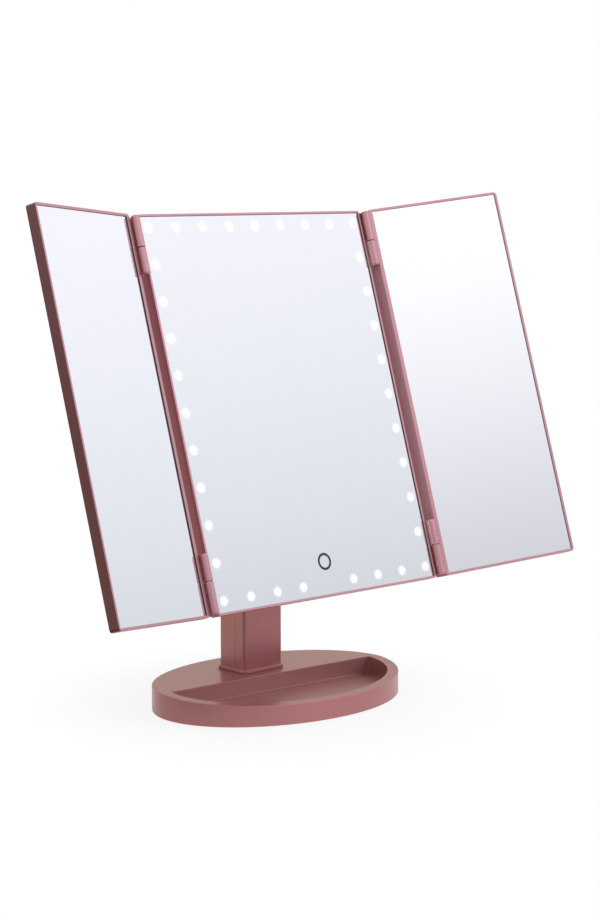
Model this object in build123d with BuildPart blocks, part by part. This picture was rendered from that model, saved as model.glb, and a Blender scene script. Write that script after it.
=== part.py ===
"""Trifold vanity mirror with a lit centre panel, on a stand that turns and tilts.

Frame: +Z up, the front faces -Y, +X to the right of someone looking at the mirror.
The origin is on the floor at the centre of the oval base. Lengths are in millimetres.
"""

import os
from math import asin, cos, degrees, radians, sin, tan

from build123d import *

os.makedirs("parts", exist_ok=True)

# ---------------------------------------------------------------- resting pose, in degrees
swivel_at_rest = 3.3        # post turned on the base, seen from above
lean_at_rest = 17.5         # head leaned back from upright
left_fold_at_rest = 17.8    # wings folded forward from flat
right_fold_at_rest = 24.9

# ---------------------------------------------------------------- clearances
slip = 0.1                  # loose fit between pieces of one body
running = 0.05              # radial play of a turning pin or shaft
axial_play = 0.15           # play beside a friction washer
turning_gap = 0.4           # air between pieces that turn past each other
overlap = 0.5               # how far a lug runs into the wall that carries it

# ---------------------------------------------------------------- base
pad_stand = 0.6             # how far the rubber pad holds the casing off the floor
pad_sunk = 0.4
pad_inset = 9.0
base_length = 198.8
base_width = 141.0
base_height = 17.9
base_wall = 2.4
base_edge = 0.5             # rounding of the casing's top edges
deck = 2.4
tray_back = 4.8             # straight back edge of the tray
rim_slope = 2.96            # degrees that the rim falls to the front
slope_start = 1.2           # in front of the tray's back edge the rim begins to fall
slope_round = 100.0
rim_width = 8.2
tray_wall = 2.0
under_tray = 1.4            # air between the tray's floor and the bottom cover
plate_thickness = 2.2
weight_thickness = 8.0
weight_gap = 3.0
base_screw_bearing = 50.0   # degrees from the long axis
base_screw_inset = 5.3
base_boss_radius = 2.4
base_screw_radius = 1.1
base_screw_head = 2.2
base_screw_head_height = 1.0
base_screw_length = 7.8

# ---------------------------------------------------------------- swivel
post_inset = 39.3           # swivel axis in front of the base's rear edge
swivel_limit = 90.0         # each way from straight ahead
spigot_radius = 8.0
bush_wall = 1.5
bush_flange = 1.0
bush_flange_width = 4.5
boss_wall = 5.5
swivel_washer_thickness = 0.8
swivel_washer_width = 5.0
swivel_plate_thickness = 1.5
swivel_plate_radius = 14.0
stop_tab_width = 6.0
stop_tab_reach = 4.0
stop_rib_width = 4.0
stop_clearance = 1.0
swivel_screw_radius = 2.5
swivel_screw_head = 4.5
swivel_screw_head_height = 2.2
swivel_screw_length = 9.5
under_swivel = 1.2          # air between the swivel screw and the bottom cover

# ---------------------------------------------------------------- post
post_width = 36.9
post_depth = 28.4
post_corner = 2.6
post_wall = 2.2
seam_forward = 4.2          # seam between the two shells, in front of the post's axis
seam_gap = 0.2
collar_lip = 1.65
collar_height = 2.4
collar_round = 0.8
collar_gap = 0.3
plug_height = 16.0
plug_wall = 2.4
pivot_height = 226.6        # tilt axis above the floor
post_screw_radius = 1.3
post_screw_head = 2.6
post_screw_head_height = 1.6
post_boss_radius = 3.6
post_screw_heights = (29.0, 105.0, 180.0)

# ---------------------------------------------------------------- tilt joint
arm_width = 14.0
arm_radius = 11.0
tilt_washer_thickness = 1.0
tilt_washer_radius = 10.0
tilt_bolt_radius = 3.0
tilt_head_radius = 5.0
tilt_head_height = 3.2
tilt_nut_height = 3.2
tilt_bore_radius = 6.0
cap_thickness = 1.5
cap_crown = 0.5
cap_round = 0.4
fork_floor = 3.0
fork_clearance = 1.2

# ---------------------------------------------------------------- head
panel_width = 210.0
panel_height = 280.0
panel_corner = 2.5
pivot_above_bottom = 161.9  # tilt axis above the bottom edge of the panel
pivot_behind_front = 41.3   # tilt axis behind the front lip of the panel
frame_depth = 9.0
frame_wall = 2.2
frame_lip = 1.6
lip_height = 1.1            # lip in front of the glass
lip_round = 0.4
glass_thickness = 2.0
glass_play = 0.1
tape_thickness = 0.5
glue_ledge = 3.2
ledge_thickness = 1.6

light_columns = 9
light_rows = 11
light_inset_across = 8.28    # centres of the outer lights inside the edges of the panel
light_inset_up = 9.55
light_radius = 3.15
print_depth = 0.3           # depth of the windows and the ring in the face of the glass
ring_above_bottom = 25.0
ring_outer = 6.2
ring_inner = 4.4

board_thickness = 1.6
board_edge = 3.0            # outer edge of the light board inside the edge of the panel
board_strip = 11.0          # width of the light board's strips
led_width = 3.5
led_height = 2.8
led_depth = 1.9
sensor_radius = 9.0
sensor_thickness = 1.0

cover_depth = 4.0
cover_skin = 2.0
cover_inset = 0.8
cover_round = 1.5
cover_screw_inset = 4.6
cover_screw_step = 3        # light pitches between the screws above the middle, and below it
cover_screw_radius = 1.0
cover_screw_head = 2.0
cover_screw_head_height = 1.2
cover_boss_radius = 2.7

flange_width = 58.0
flange_height = 46.0
flange_thickness = 3.0
flange_corner = 6.0
flange_round = 1.0
bracket_screw_inset = 7.5
bracket_screw_radius = 1.5
bracket_screw_head = 2.8
bracket_screw_head_height = 1.8
bracket_screw_round = 0.9
bracket_screw_length = 7.0
bracket_boss_radius = 3.6
bracket_boss_height = 3.0

cell_radius = 7.1
cell_length = 49.5
cell_button_radius = 2.75
cell_button_height = 1.0
cell_spacing = 1.2          # air between the two rows of cells
contact_thickness = 0.5
contact_margin = 0.2
spring_length = 4.4
spring_radius = 5.6
spring_taper = 35.0         # degrees
spring_turns = 3
spring_wire = 0.3
bay_wall = 1.6
bay_floor = 1.2
bay_gap = 0.4
bay_behind_glass = 3.0
bay_above_flange = 1.8
divider = 1.2
door_thickness = 1.6
door_round = 1.2
door_ridges = 4
door_ridge_pitch = 3.0
door_ridge_length = 21.0
door_ridge_width = 1.0
door_ridge_height = 0.5

control_width = 46.0
control_height = 30.0
control_below_flange = 30.0
control_standoff = 1.6
control_boss_radius = 2.5
control_boss_inset = 5.0
chip_size = 8.0
chip_height = 1.2
chip_x = -9.0
inlet_x = 14.0
inlet_width = 8.2
inlet_height = 3.4
inlet_wall = 0.4
inlet_back = 0.5
lead_radius = 0.6
lead_spread = 5.0
lead_bend = 4.0
lead_rise = 1.0

# ---------------------------------------------------------------- wings and hinges
hinge_gap = 3.8             # hinge axis beside the edge of the panel, and beside the wing
hinge_proud = 1.8           # hinge axis in front of the front lip
barrel_radius = 3.1
web_depth = 3.8             # plate between a barrel and its wall, just behind the lip
barrel_round = 0.8
fixed_knuckle = 22.4
fixed_knuckle_end = 1.4     # outer end of the hinge inside the end of the panel
moving_knuckle = 18.8
pin_radius = 1.1
pin_recess = 1.5
pin_stop = 2.5              # blind end of the moving knuckle
wing_meeting_gap = 0.8      # between the two wings when both are closed
wing_depth = 8.0
wing_wall = 2.0
wing_lip = 1.8
wing_hinge_lip = 2.9        # the lip beside the hinge is wider
wing_heel = 4.5             # how far the back of the wing runs on under the hinge
wing_web = 1.6
wing_tape_thickness = 0.6
wing_back_thickness = 1.8
rib_width = 1.5
rib_count = 3

# ---------------------------------------------------------------- heights above the floor
base_x = base_length / 2
base_y = base_width / 2
plate_top = pad_stand + plate_thickness
tray_floor = plate_top + under_tray + tray_wall
base_top = pad_stand + base_height
slope_run = base_y + tray_back - slope_start - slope_round * sin(radians(rim_slope))
rim_drop = slope_round * (1 - cos(radians(rim_slope))) + slope_run * tan(radians(rim_slope))
rim_under = base_top - rim_drop - deck
spigot_end = plate_top + under_swivel + swivel_screw_head_height + swivel_plate_thickness
bush_bottom = spigot_end + swivel_washer_thickness + axial_play
boss_bottom = bush_bottom + bush_flange
collar_bottom = base_top + collar_gap
collar_top = collar_bottom + collar_height
fork_bottom = pivot_height - arm_radius - fork_clearance
post_hollow_top = fork_bottom - fork_floor
post_top = pivot_height + post_depth / 2

# ---------------------------------------------------------------- sizes across
post_y = base_y - post_inset
cavity_width = rim_width - tray_wall - base_wall
bush_radius = spigot_radius + running + bush_wall
stop_radius = swivel_plate_radius + stop_tab_reach / 2
stop_tip = swivel_plate_radius + stop_tab_reach
stop_half_angle = degrees(asin((stop_tab_width / 2 + stop_rib_width / 2 + stop_clearance) / stop_radius))
slot_half = arm_width / 2 + tilt_washer_thickness + axial_play
cheek_outer = post_width / 2 - cap_thickness - tilt_head_height
hinge_x = panel_width / 2 + hinge_gap
wing_width = hinge_x - hinge_gap - wing_meeting_gap / 2
wing_open_width = wing_width - wing_lip - wing_hinge_lip
light_pitch_across = (panel_width - 2 * light_inset_across) / (light_columns - 1)
fixed_meets = panel_height / 2 - fixed_knuckle_end - fixed_knuckle
moving_meets = fixed_meets - turning_gap
moving_bore = moving_knuckle - pin_stop
pin_length = fixed_knuckle - pin_recess + turning_gap + moving_bore
web_middle = hinge_proud + lip_round + web_depth / 2

# ---------------------------------------------------------------- heights up the panel, from its middle
panel_mid = panel_height / 2
pivot_up = pivot_above_bottom - panel_mid
light_pitch_up = (panel_height - 2 * light_inset_up) / (light_rows - 1)
ring_up = ring_above_bottom - panel_mid
cell_pitch = 2 * cell_radius + cell_spacing
bay_height = 2 * cell_pitch + bay_gap
bay_outer_height = bay_height + 2 * bay_wall
bay_up = pivot_up + flange_height / 2 + bay_above_flange + bay_outer_height / 2
control_up = pivot_up - flange_height / 2 - control_below_flange - control_height / 2

# ---------------------------------------------------------------- depths in the panel, behind its front lip
glass_front = -lip_height
glass_back = glass_front - glass_thickness
ledge_front = glass_back - tape_thickness
ledge_back = ledge_front - ledge_thickness
panel_back = -frame_depth - cover_depth
cover_inner = panel_back + cover_skin
bay_front = glass_back - bay_behind_glass
bay_depth = 2 * (cell_radius + bay_gap)
bay_rear = bay_front - bay_floor - bay_depth
cell_depth = bay_front - bay_floor - bay_depth / 2
control_back = cover_inner + control_standoff
wing_glass_back = glass_front - glass_thickness
wing_web_front = wing_glass_back - wing_tape_thickness
wing_web_back = wing_web_front - wing_web

# ---------------------------------------------------------------- places of the battery cells
cell_half = (spring_length + cell_length + cell_button_height) / 2
cell_middle = divider / 2 + contact_thickness + cell_half + bay_gap / 2
bay_length = 2 * (cell_middle + cell_half + contact_thickness + bay_gap / 2)
cells = [(row * cell_pitch / 2, half * cell_middle, row) for row in (-1, 1) for half in (-1, 1)]


# ---------------------------------------------------------------- planes
def turned(plane, move=(0, 0, 0), turn=(0, 0, 0)):
    """A plane moved and then turned in its own axes."""
    return Plane(plane.location * Location(move, turn))


post = Plane(Location((0, post_y, 0), (0, 0, swivel_at_rest)))
post_front_view = turned(post, turn=(90, 0, 0))
post_side_view = turned(turned(post, turn=(0, 0, 90)), turn=(90, 0, 0))
post_seam = post_front_view.offset(seam_forward)
tilt = turned(post, (0, 0, pivot_height), (90 - lean_at_rest, 0, 0))
tilt_across = turned(tilt, turn=(0, 90, 0))
panel = turned(tilt, (0, -pivot_up, pivot_behind_front))
flange = turned(tilt, (0, 0, pivot_behind_front + panel_back))
hinges = {
    "left": turned(panel, (-hinge_x, 0, hinge_proud), (0, left_fold_at_rest, 0)),
    "right": turned(panel, (hinge_x, 0, hinge_proud), (0, -right_fold_at_rest, 0)),
}
sides = {"left": -1, "right": 1}


def across_bay(x, up, way=1):
    """A plane in the battery bay, on the axis of a row of cells, that looks right or left."""
    return turned(panel, (x, bay_up + up, cell_depth), (0, way * 90, 0))


# ---------------------------------------------------------------- places of fasteners and lights
base_screw_places = [
    (
        (base_x - base_screw_inset) * cos(radians(bearing)),
        (base_y - base_screw_inset) * sin(radians(bearing)),
    )
    for bearing in (
        base_screw_bearing,
        180 - base_screw_bearing,
        180 + base_screw_bearing,
        360 - base_screw_bearing,
    )
]
post_screw_places = [(0, height) for height in post_screw_heights]
bracket_screw_x = flange_width / 2 - bracket_screw_inset
bracket_screw_y = flange_height / 2 - bracket_screw_inset
cover_screw_places = [
    (side * (panel_width / 2 - cover_screw_inset), end * light_pitch_up * (2 * step + 1) / 2)
    for side in (-1, 1)
    for end in (-1, 1)
    for step in (0, cover_screw_step)
]
control_boss_x = control_width / 2 - control_boss_inset
light_places = [
    (light_pitch_across * (column - (light_columns - 1) / 2), light_pitch_up * (row - (light_rows - 1) / 2))
    for column in range(light_columns)
    for row in range(light_rows)
    if (column in (0, light_columns - 1) or row in (0, light_rows - 1))
    and not (row == 0 and column == light_columns // 2)
]

# ================================================================ BASE
# Upper casing: oval, flat behind the tray, its rim sloping down to the front.
with BuildPart() as base_shell:
    with BuildSketch(Plane.XY.offset(pad_stand)):
        Ellipse(base_x, base_y)
    extrude(amount=base_height)
    with BuildSketch(Plane.YZ):
        with BuildLine():
            turn = JernArc((tray_back - slope_start, base_top), (-1, 0), slope_round, rim_slope)
            slope = Line(turn @ 1, turn @ 1 + (turn % 1) * base_y)
            Polyline(slope @ 1, (-base_width, base_top), turn @ 0)
        make_face()
    extrude(amount=base_x, both=True, mode=Mode.SUBTRACT)
    # tray recess
    with BuildSketch(Plane.XY.offset(tray_floor)):
        Ellipse(base_x - rim_width, base_y - rim_width)
        with Locations((0, tray_back)):
            Rectangle(base_length, base_width, align=(Align.CENTER, Align.MAX), mode=Mode.INTERSECT)
    extrude(amount=base_height, mode=Mode.SUBTRACT)
    top_edges = base_shell.edges().filter_by(lambda edge: edge.bounding_box().min.Z > rim_under)
    across = top_edges.filter_by(Axis.X).sort_by(Axis.Y)
    fillet([edge for edge in top_edges if edge not in across[:-1]], base_edge)
    # hollow under the rear deck
    with BuildSketch(Plane.XY.offset(pad_stand)):
        Ellipse(base_x - base_wall, base_y - base_wall)
        with Locations((0, tray_back + tray_wall)):
            Rectangle(base_length, base_width, align=(Align.CENTER, Align.MIN), mode=Mode.INTERSECT)
    extrude(amount=base_height - deck, mode=Mode.SUBTRACT)
    # hollow inside the rim
    with BuildSketch(Plane.XY.offset(pad_stand)):
        Ellipse(base_x - base_wall, base_y - base_wall)
        Ellipse(base_x - base_wall - cavity_width, base_y - base_wall - cavity_width, mode=Mode.SUBTRACT)
        with Locations((0, tray_back + tray_wall)):
            Rectangle(base_length, base_width, align=(Align.CENTER, Align.MAX), mode=Mode.INTERSECT)
    extrude(amount=rim_under - pad_stand, mode=Mode.SUBTRACT)
    # shallow hollow under the tray
    with BuildSketch(Plane.XY.offset(pad_stand)):
        Ellipse(base_x - base_wall, base_y - base_wall)
    extrude(amount=plate_thickness + under_tray, mode=Mode.SUBTRACT)
    # boss for the swivel bush
    with BuildSketch(Plane.XY.offset(boss_bottom)):
        with Locations((0, post_y)):
            Circle(bush_radius + boss_wall)
    extrude(until=Until.NEXT)
    # ribs that the stop tab meets at each end of the swivel
    with BuildSketch(Plane.XY.offset(spigot_end - swivel_plate_thickness)):
        for way in (-1, 1):
            with Locations(Location((0, post_y, 0), (0, 0, 90 + way * (swivel_limit + stop_half_angle)))):
                with Locations((stop_radius + overlap, 0)):
                    Rectangle(stop_tab_reach, stop_rib_width)
    extrude(until=Until.NEXT)
    with Locations((0, post_y, base_top)):
        Hole(bush_radius)
    # screw bosses in the rim
    with BuildSketch(Plane.XY.offset(plate_top)):
        with Locations(*base_screw_places):
            Circle(base_boss_radius)
    extrude(until=Until.NEXT)
    with BuildSketch(Plane.XY.offset(plate_top)):
        with Locations(*base_screw_places):
            Circle(base_screw_radius)
    extrude(amount=base_screw_length, mode=Mode.SUBTRACT)
base_shell.part.label = "base_shell"
export_step(base_shell.part, "parts/base_shell.step")

# Bottom cover, let into the casing, with sunk places for the pad and the screw heads.
with BuildPart() as base_plate:
    with BuildSketch(Plane.XY.offset(pad_stand)):
        Ellipse(base_x - base_wall - slip, base_y - base_wall - slip)
    extrude(amount=plate_thickness)
    with BuildSketch(Plane.XY.offset(pad_stand)):
        Ellipse(base_x - pad_inset, base_y - pad_inset)
    extrude(amount=pad_sunk, mode=Mode.SUBTRACT)
    with BuildSketch(Plane.XY.offset(pad_stand)):
        with Locations(*base_screw_places):
            Circle(base_screw_head + slip)
    extrude(amount=base_screw_head_height, mode=Mode.SUBTRACT)
    with BuildSketch(Plane.XY.offset(pad_stand)):
        with Locations(*base_screw_places):
            Circle(base_screw_radius + slip)
    extrude(amount=plate_thickness, mode=Mode.SUBTRACT)
base_plate.part.label = "base_plate"
export_step(base_plate.part, "parts/base_plate.step")

# Oval rubber pad that the stand rests on.
with BuildPart() as base_pad:
    with BuildSketch(Plane.XY):
        Ellipse(base_x - pad_inset, base_y - pad_inset)
    extrude(amount=pad_stand + pad_sunk)
    chamfer(base_pad.faces().sort_by(Axis.Z)[0].edges(), pad_stand / 2)
base_pad.part.label = "base_pad"
export_step(base_pad.part, "parts/base_pad.step")

# Screws of the bottom cover.
with BuildPart() as base_screws:
    with BuildSketch(Plane.XY.offset(pad_stand)):
        with Locations(*base_screw_places):
            Circle(base_screw_head)
    extrude(amount=base_screw_head_height)
    with BuildSketch(Plane.XY.offset(pad_stand)):
        with Locations(*base_screw_places):
            Circle(base_screw_radius)
    extrude(amount=base_screw_length)
base_screws.part.label = "base_screws"
export_step(base_screws.part, "parts/base_screws.step")

# Steel ballast on the bottom cover, cut away round the swivel and the screw bosses.
with BuildPart() as base_weight:
    with BuildSketch(Plane.XY.offset(plate_top)):
        Ellipse(base_x - base_wall - weight_gap, base_y - base_wall - weight_gap)
        with Locations((0, tray_back + tray_wall + weight_gap)):
            Rectangle(base_length, base_width, align=(Align.CENTER, Align.MIN), mode=Mode.INTERSECT)
        with Locations((0, post_y)):
            Circle(stop_tip + overlap + weight_gap, mode=Mode.SUBTRACT)
        with Locations(*base_screw_places):
            Circle(base_boss_radius + weight_gap / 2, mode=Mode.SUBTRACT)
    extrude(amount=weight_thickness)
base_weight.part.label = "base_weight"
export_step(base_weight.part, "parts/base_weight.step")

# ================================================================ SWIVEL
# Nylon bush, pressed up into the boss of the base.
with BuildPart() as swivel_bush:
    with BuildSketch(post.offset(bush_bottom)):
        Circle(bush_radius + bush_flange_width)
    extrude(amount=bush_flange)
    with BuildSketch(post.offset(boss_bottom)):
        Circle(bush_radius)
    extrude(amount=base_top - boss_bottom)
    with BuildSketch(post.offset(bush_bottom)):
        Circle(spigot_radius + running)
    extrude(amount=base_top - bush_bottom, mode=Mode.SUBTRACT)
swivel_bush.part.label = "swivel_bush"
export_step(swivel_bush.part, "parts/swivel_bush.step")

# Foot of the post: the collar that shows, the plug inside the post and the spigot in the bush.
with BuildPart() as post_foot:
    with BuildSketch(post.offset(collar_bottom)):
        RectangleRounded(post_width + 2 * collar_lip, post_depth + 2 * collar_lip, post_corner + collar_lip)
    extrude(amount=collar_height)
    fillet(post_foot.faces().sort_by(Axis.Z)[-1].edges(), collar_round)
    with BuildSketch(post.offset(collar_top)):
        Rectangle(post_width - 2 * (post_wall + slip), post_depth - 2 * (post_wall + slip))
        Rectangle(
            post_width - 2 * (post_wall + slip + plug_wall),
            post_depth - 2 * (post_wall + slip + plug_wall),
            mode=Mode.SUBTRACT,
        )
    extrude(amount=plug_height)
    with BuildSketch(post.offset(spigot_end)):
        Circle(spigot_radius)
    extrude(amount=collar_bottom - spigot_end)
    with BuildSketch(post.offset(spigot_end)):
        Circle(swivel_screw_radius)
    extrude(amount=swivel_screw_length - swivel_plate_thickness, mode=Mode.SUBTRACT)
    # way through for the lowest screw boss of the post
    with BuildSketch(post_front_view.offset(-post_depth / 2)):
        with Locations(post_screw_places[0]):
            Circle(post_boss_radius + slip)
    extrude(amount=post_depth, mode=Mode.SUBTRACT)
post_foot.part.label = "post_foot"
export_step(post_foot.part, "parts/post_foot.step")

# Friction washer between the bush and the retaining plate.
with BuildPart() as swivel_washer:
    with BuildSketch(post.offset(spigot_end)):
        Circle(spigot_radius + slip + swivel_washer_width)
        Circle(spigot_radius + slip, mode=Mode.SUBTRACT)
    extrude(amount=swivel_washer_thickness)
swivel_washer.part.label = "swivel_washer"
export_step(swivel_washer.part, "parts/swivel_washer.step")

# Steel retaining plate with the tab that meets the stop ribs.
with BuildPart() as swivel_plate:
    with BuildSketch(post.offset(spigot_end)):
        Circle(swivel_plate_radius)
        Rectangle(stop_tab_width, stop_tip, align=(Align.CENTER, Align.MIN))
        Circle(swivel_screw_radius, mode=Mode.SUBTRACT)
    extrude(amount=-swivel_plate_thickness)
swivel_plate.part.label = "swivel_plate"
export_step(swivel_plate.part, "parts/swivel_plate.step")

with BuildPart() as swivel_screw:
    with BuildSketch(post.offset(spigot_end - swivel_plate_thickness)):
        Circle(swivel_screw_head)
    extrude(amount=-swivel_screw_head_height)
    with BuildSketch(post.offset(spigot_end - swivel_plate_thickness)):
        Circle(swivel_screw_radius)
    extrude(amount=swivel_screw_length)
swivel_screw.part.label = "swivel_screw"
export_step(swivel_screw.part, "parts/swivel_screw.step")

# ================================================================ POST
# The whole post before it is parted: a hollow rounded bar with a forked, rounded top.
with BuildPart() as post_casing:
    with BuildSketch(post.offset(collar_top)):
        RectangleRounded(post_width, post_depth, post_corner)
    extrude(amount=post_top - collar_top)
    with BuildSketch(post_side_view):
        with Locations((0, pivot_height)):
            Circle(post_depth / 2)
            Rectangle(post_depth, pivot_height - collar_top, align=(Align.CENTER, Align.MAX))
    extrude(amount=post_width, both=True, mode=Mode.INTERSECT)
    with BuildSketch(post.offset(collar_top)):
        Rectangle(post_width - 2 * post_wall, post_depth - 2 * post_wall)
    extrude(amount=post_hollow_top - collar_top, mode=Mode.SUBTRACT)
    with BuildSketch(post.offset(fork_bottom)):
        Rectangle(2 * slot_half, 2 * post_depth)
    extrude(amount=post_top - fork_bottom, mode=Mode.SUBTRACT)
    with BuildSketch(post_side_view):
        with Locations((0, pivot_height)):
            Circle(tilt_bolt_radius)
    extrude(amount=post_width, both=True, mode=Mode.SUBTRACT)
    for way in (-1, 1):
        with BuildSketch(post_side_view.offset(way * cheek_outer)):
            with Locations((0, pivot_height)):
                Circle(tilt_bore_radius)
        extrude(amount=way * post_width, mode=Mode.SUBTRACT)

# Front shell: up to the fork, with the blind screw bosses.
with BuildPart() as post_front_shell:
    add(post_casing.part)
    split(bisect_by=post_seam.offset(seam_gap / 2), keep=Keep.TOP)
    split(bisect_by=post.offset(post_hollow_top - seam_gap), keep=Keep.BOTTOM)
    with BuildSketch(post_seam.offset(seam_gap / 2)):
        with Locations(*post_screw_places):
            Circle(post_boss_radius)
    extrude(amount=post_depth / 2 - seam_forward - post_wall)
    with BuildSketch(post_seam.offset(seam_gap / 2)):
        with Locations(*post_screw_places):
            Circle(post_screw_radius)
    extrude(amount=post_depth / 2 - seam_forward - post_wall, mode=Mode.SUBTRACT)
post_front_shell.part.label = "post_front_shell"
export_step(post_front_shell.part, "parts/post_front_shell.step")

# Rear shell: carries the whole fork, with the sunk screw places.
with BuildPart() as post_rear_shell:
    add(post_casing.part)
    with BuildSketch(post.offset(collar_top)):
        with Locations((0, -seam_forward + seam_gap / 2)):
            Rectangle(2 * post_width, post_depth, align=(Align.CENTER, Align.MAX))
    extrude(amount=post_hollow_top - collar_top, mode=Mode.SUBTRACT)
    with BuildSketch(post_seam.offset(-seam_gap / 2)):
        with Locations(*post_screw_places):
            Circle(post_boss_radius)
    extrude(amount=-(post_depth / 2 + seam_forward - post_wall))
    with BuildSketch(post_front_view.offset(-post_depth / 2)):
        with Locations(*post_screw_places):
            Circle(post_screw_radius)
    extrude(amount=post_depth, mode=Mode.SUBTRACT)
    with BuildSketch(post_front_view.offset(-post_depth / 2)):
        with Locations(*post_screw_places):
            Circle(post_screw_head + slip)
    extrude(amount=post_wall, mode=Mode.SUBTRACT)
post_rear_shell.part.label = "post_rear_shell"
export_step(post_rear_shell.part, "parts/post_rear_shell.step")

with BuildPart() as post_screws:
    with BuildSketch(post_front_view.offset(-post_depth / 2 + post_wall)):
        with Locations(*post_screw_places):
            Circle(post_screw_head)
    extrude(amount=-post_screw_head_height)
    with BuildSketch(post_front_view.offset(-post_depth / 2 + post_wall)):
        with Locations(*post_screw_places):
            Circle(post_screw_radius)
    extrude(amount=post_depth - 2 * post_wall - slip)
post_screws.part.label = "post_screws"
export_step(post_screws.part, "parts/post_screws.step")

# ================================================================ TILT JOINT
# Bolt through the fork: its head in the left bore, the nut in the right one.
with BuildPart() as tilt_bolt:
    with BuildSketch(post_side_view.offset(-cheek_outer)):
        with Locations((0, pivot_height)):
            Circle(tilt_head_radius)
    extrude(amount=-tilt_head_height)
    with BuildSketch(post_side_view.offset(-cheek_outer)):
        with Locations((0, pivot_height)):
            Circle(tilt_bolt_radius)
    extrude(amount=2 * cheek_outer + tilt_nut_height)
tilt_bolt.part.label = "tilt_bolt"
export_step(tilt_bolt.part, "parts/tilt_bolt.step")

with BuildPart() as tilt_nut:
    with BuildSketch(post_side_view.offset(cheek_outer)):
        with Locations((0, pivot_height)):
            RegularPolygon(tilt_head_radius, 6)
            Circle(tilt_bolt_radius, mode=Mode.SUBTRACT)
    extrude(amount=tilt_nut_height)
tilt_nut.part.label = "tilt_nut"
export_step(tilt_nut.part, "parts/tilt_nut.step")

# Two caps that close the bores.
with BuildPart() as tilt_caps:
    for way in (-1, 1):
        with BuildSketch(post_side_view.offset(way * (post_width / 2 - cap_thickness))):
            with Locations((0, pivot_height)):
                Circle(tilt_bore_radius)
        extrude(amount=way * (cap_thickness + cap_crown))
    for way in (0, -1):
        fillet(tilt_caps.faces().sort_by(Axis(post.origin, post.x_dir))[way].edges(), cap_round)
tilt_caps.part.label = "tilt_caps"
export_step(tilt_caps.part, "parts/tilt_caps.step")

# Friction discs on both sides of the arm.
with BuildPart() as tilt_washers:
    for way in (-1, 1):
        with BuildSketch(tilt_across.offset(way * arm_width / 2)):
            Circle(tilt_washer_radius)
            Circle(tilt_bolt_radius + running, mode=Mode.SUBTRACT)
        extrude(amount=way * tilt_washer_thickness)
tilt_washers.part.label = "tilt_washers"
export_step(tilt_washers.part, "parts/tilt_washers.step")

# Arm and flange: the arm is gripped in the fork, the flange is screwed to the rear cover.
with BuildPart() as tilt_bracket:
    with BuildSketch(flange):
        RectangleRounded(flange_width, flange_height, flange_corner)
    extrude(amount=-flange_thickness)
    fillet(tilt_bracket.faces().sort_by(Axis(flange.origin, flange.z_dir))[0].edges(), flange_round)
    with BuildSketch(tilt_across):
        Circle(arm_radius)
        Rectangle(
            pivot_behind_front + panel_back - flange_thickness + overlap,
            2 * arm_radius,
            align=(Align.MAX, Align.CENTER),
        )
    extrude(amount=arm_width / 2, both=True)
    with BuildSketch(tilt_across):
        Circle(tilt_bolt_radius + running)
    extrude(amount=arm_width, both=True, mode=Mode.SUBTRACT)
    with BuildSketch(flange):
        with GridLocations(2 * bracket_screw_x, 2 * bracket_screw_y, 2, 2):
            Circle(bracket_screw_radius + slip)
    extrude(amount=-flange_thickness, mode=Mode.SUBTRACT)
tilt_bracket.part.label = "tilt_bracket"
export_step(tilt_bracket.part, "parts/tilt_bracket.step")

with BuildPart() as bracket_screws:
    with BuildSketch(flange.offset(-flange_thickness)):
        with GridLocations(2 * bracket_screw_x, 2 * bracket_screw_y, 2, 2):
            Circle(bracket_screw_head)
    extrude(amount=-bracket_screw_head_height)
    fillet(
        bracket_screws.faces().group_by(Axis(flange.origin, flange.z_dir))[0].edges(),
        bracket_screw_round,
    )
    with BuildSketch(flange.offset(-flange_thickness)):
        with GridLocations(2 * bracket_screw_x, 2 * bracket_screw_y, 2, 2):
            Circle(bracket_screw_radius)
    extrude(amount=bracket_screw_length)
bracket_screws.part.label = "bracket_screws"
export_step(bracket_screws.part, "parts/bracket_screws.step")


# ================================================================ CENTRE MIRROR
def knuckle(hinge, side, meets, length, bore, depth):
    """A bored barrel on a hinge line with its web to the wall on that side.

    It runs from where it meets the next knuckle, and its far end is rounded.
    """
    way = 1 if length > 0 else -1
    with BuildPart() as barrel:
        with BuildSketch(turned(hinge, (0, meets, 0), (-90, 0, 0))):
            Circle(barrel_radius)
        extrude(amount=length)
        fillet(barrel.edges().group_by(Axis(hinge.origin, hinge.y_dir * way))[-1], barrel_round)
        with BuildSketch(turned(hinge, (0, meets, 0), (-90, 0, 0))):
            with Locations((side * (hinge_gap + overlap) / 2, web_middle)):
                Rectangle(hinge_gap + overlap, web_depth)
        extrude(amount=length - way * barrel_round)
        with BuildSketch(turned(hinge, (0, meets, 0), (-90, 0, 0))):
            Circle(bore)
        extrude(amount=depth, mode=Mode.SUBTRACT)
    return barrel.part


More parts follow.
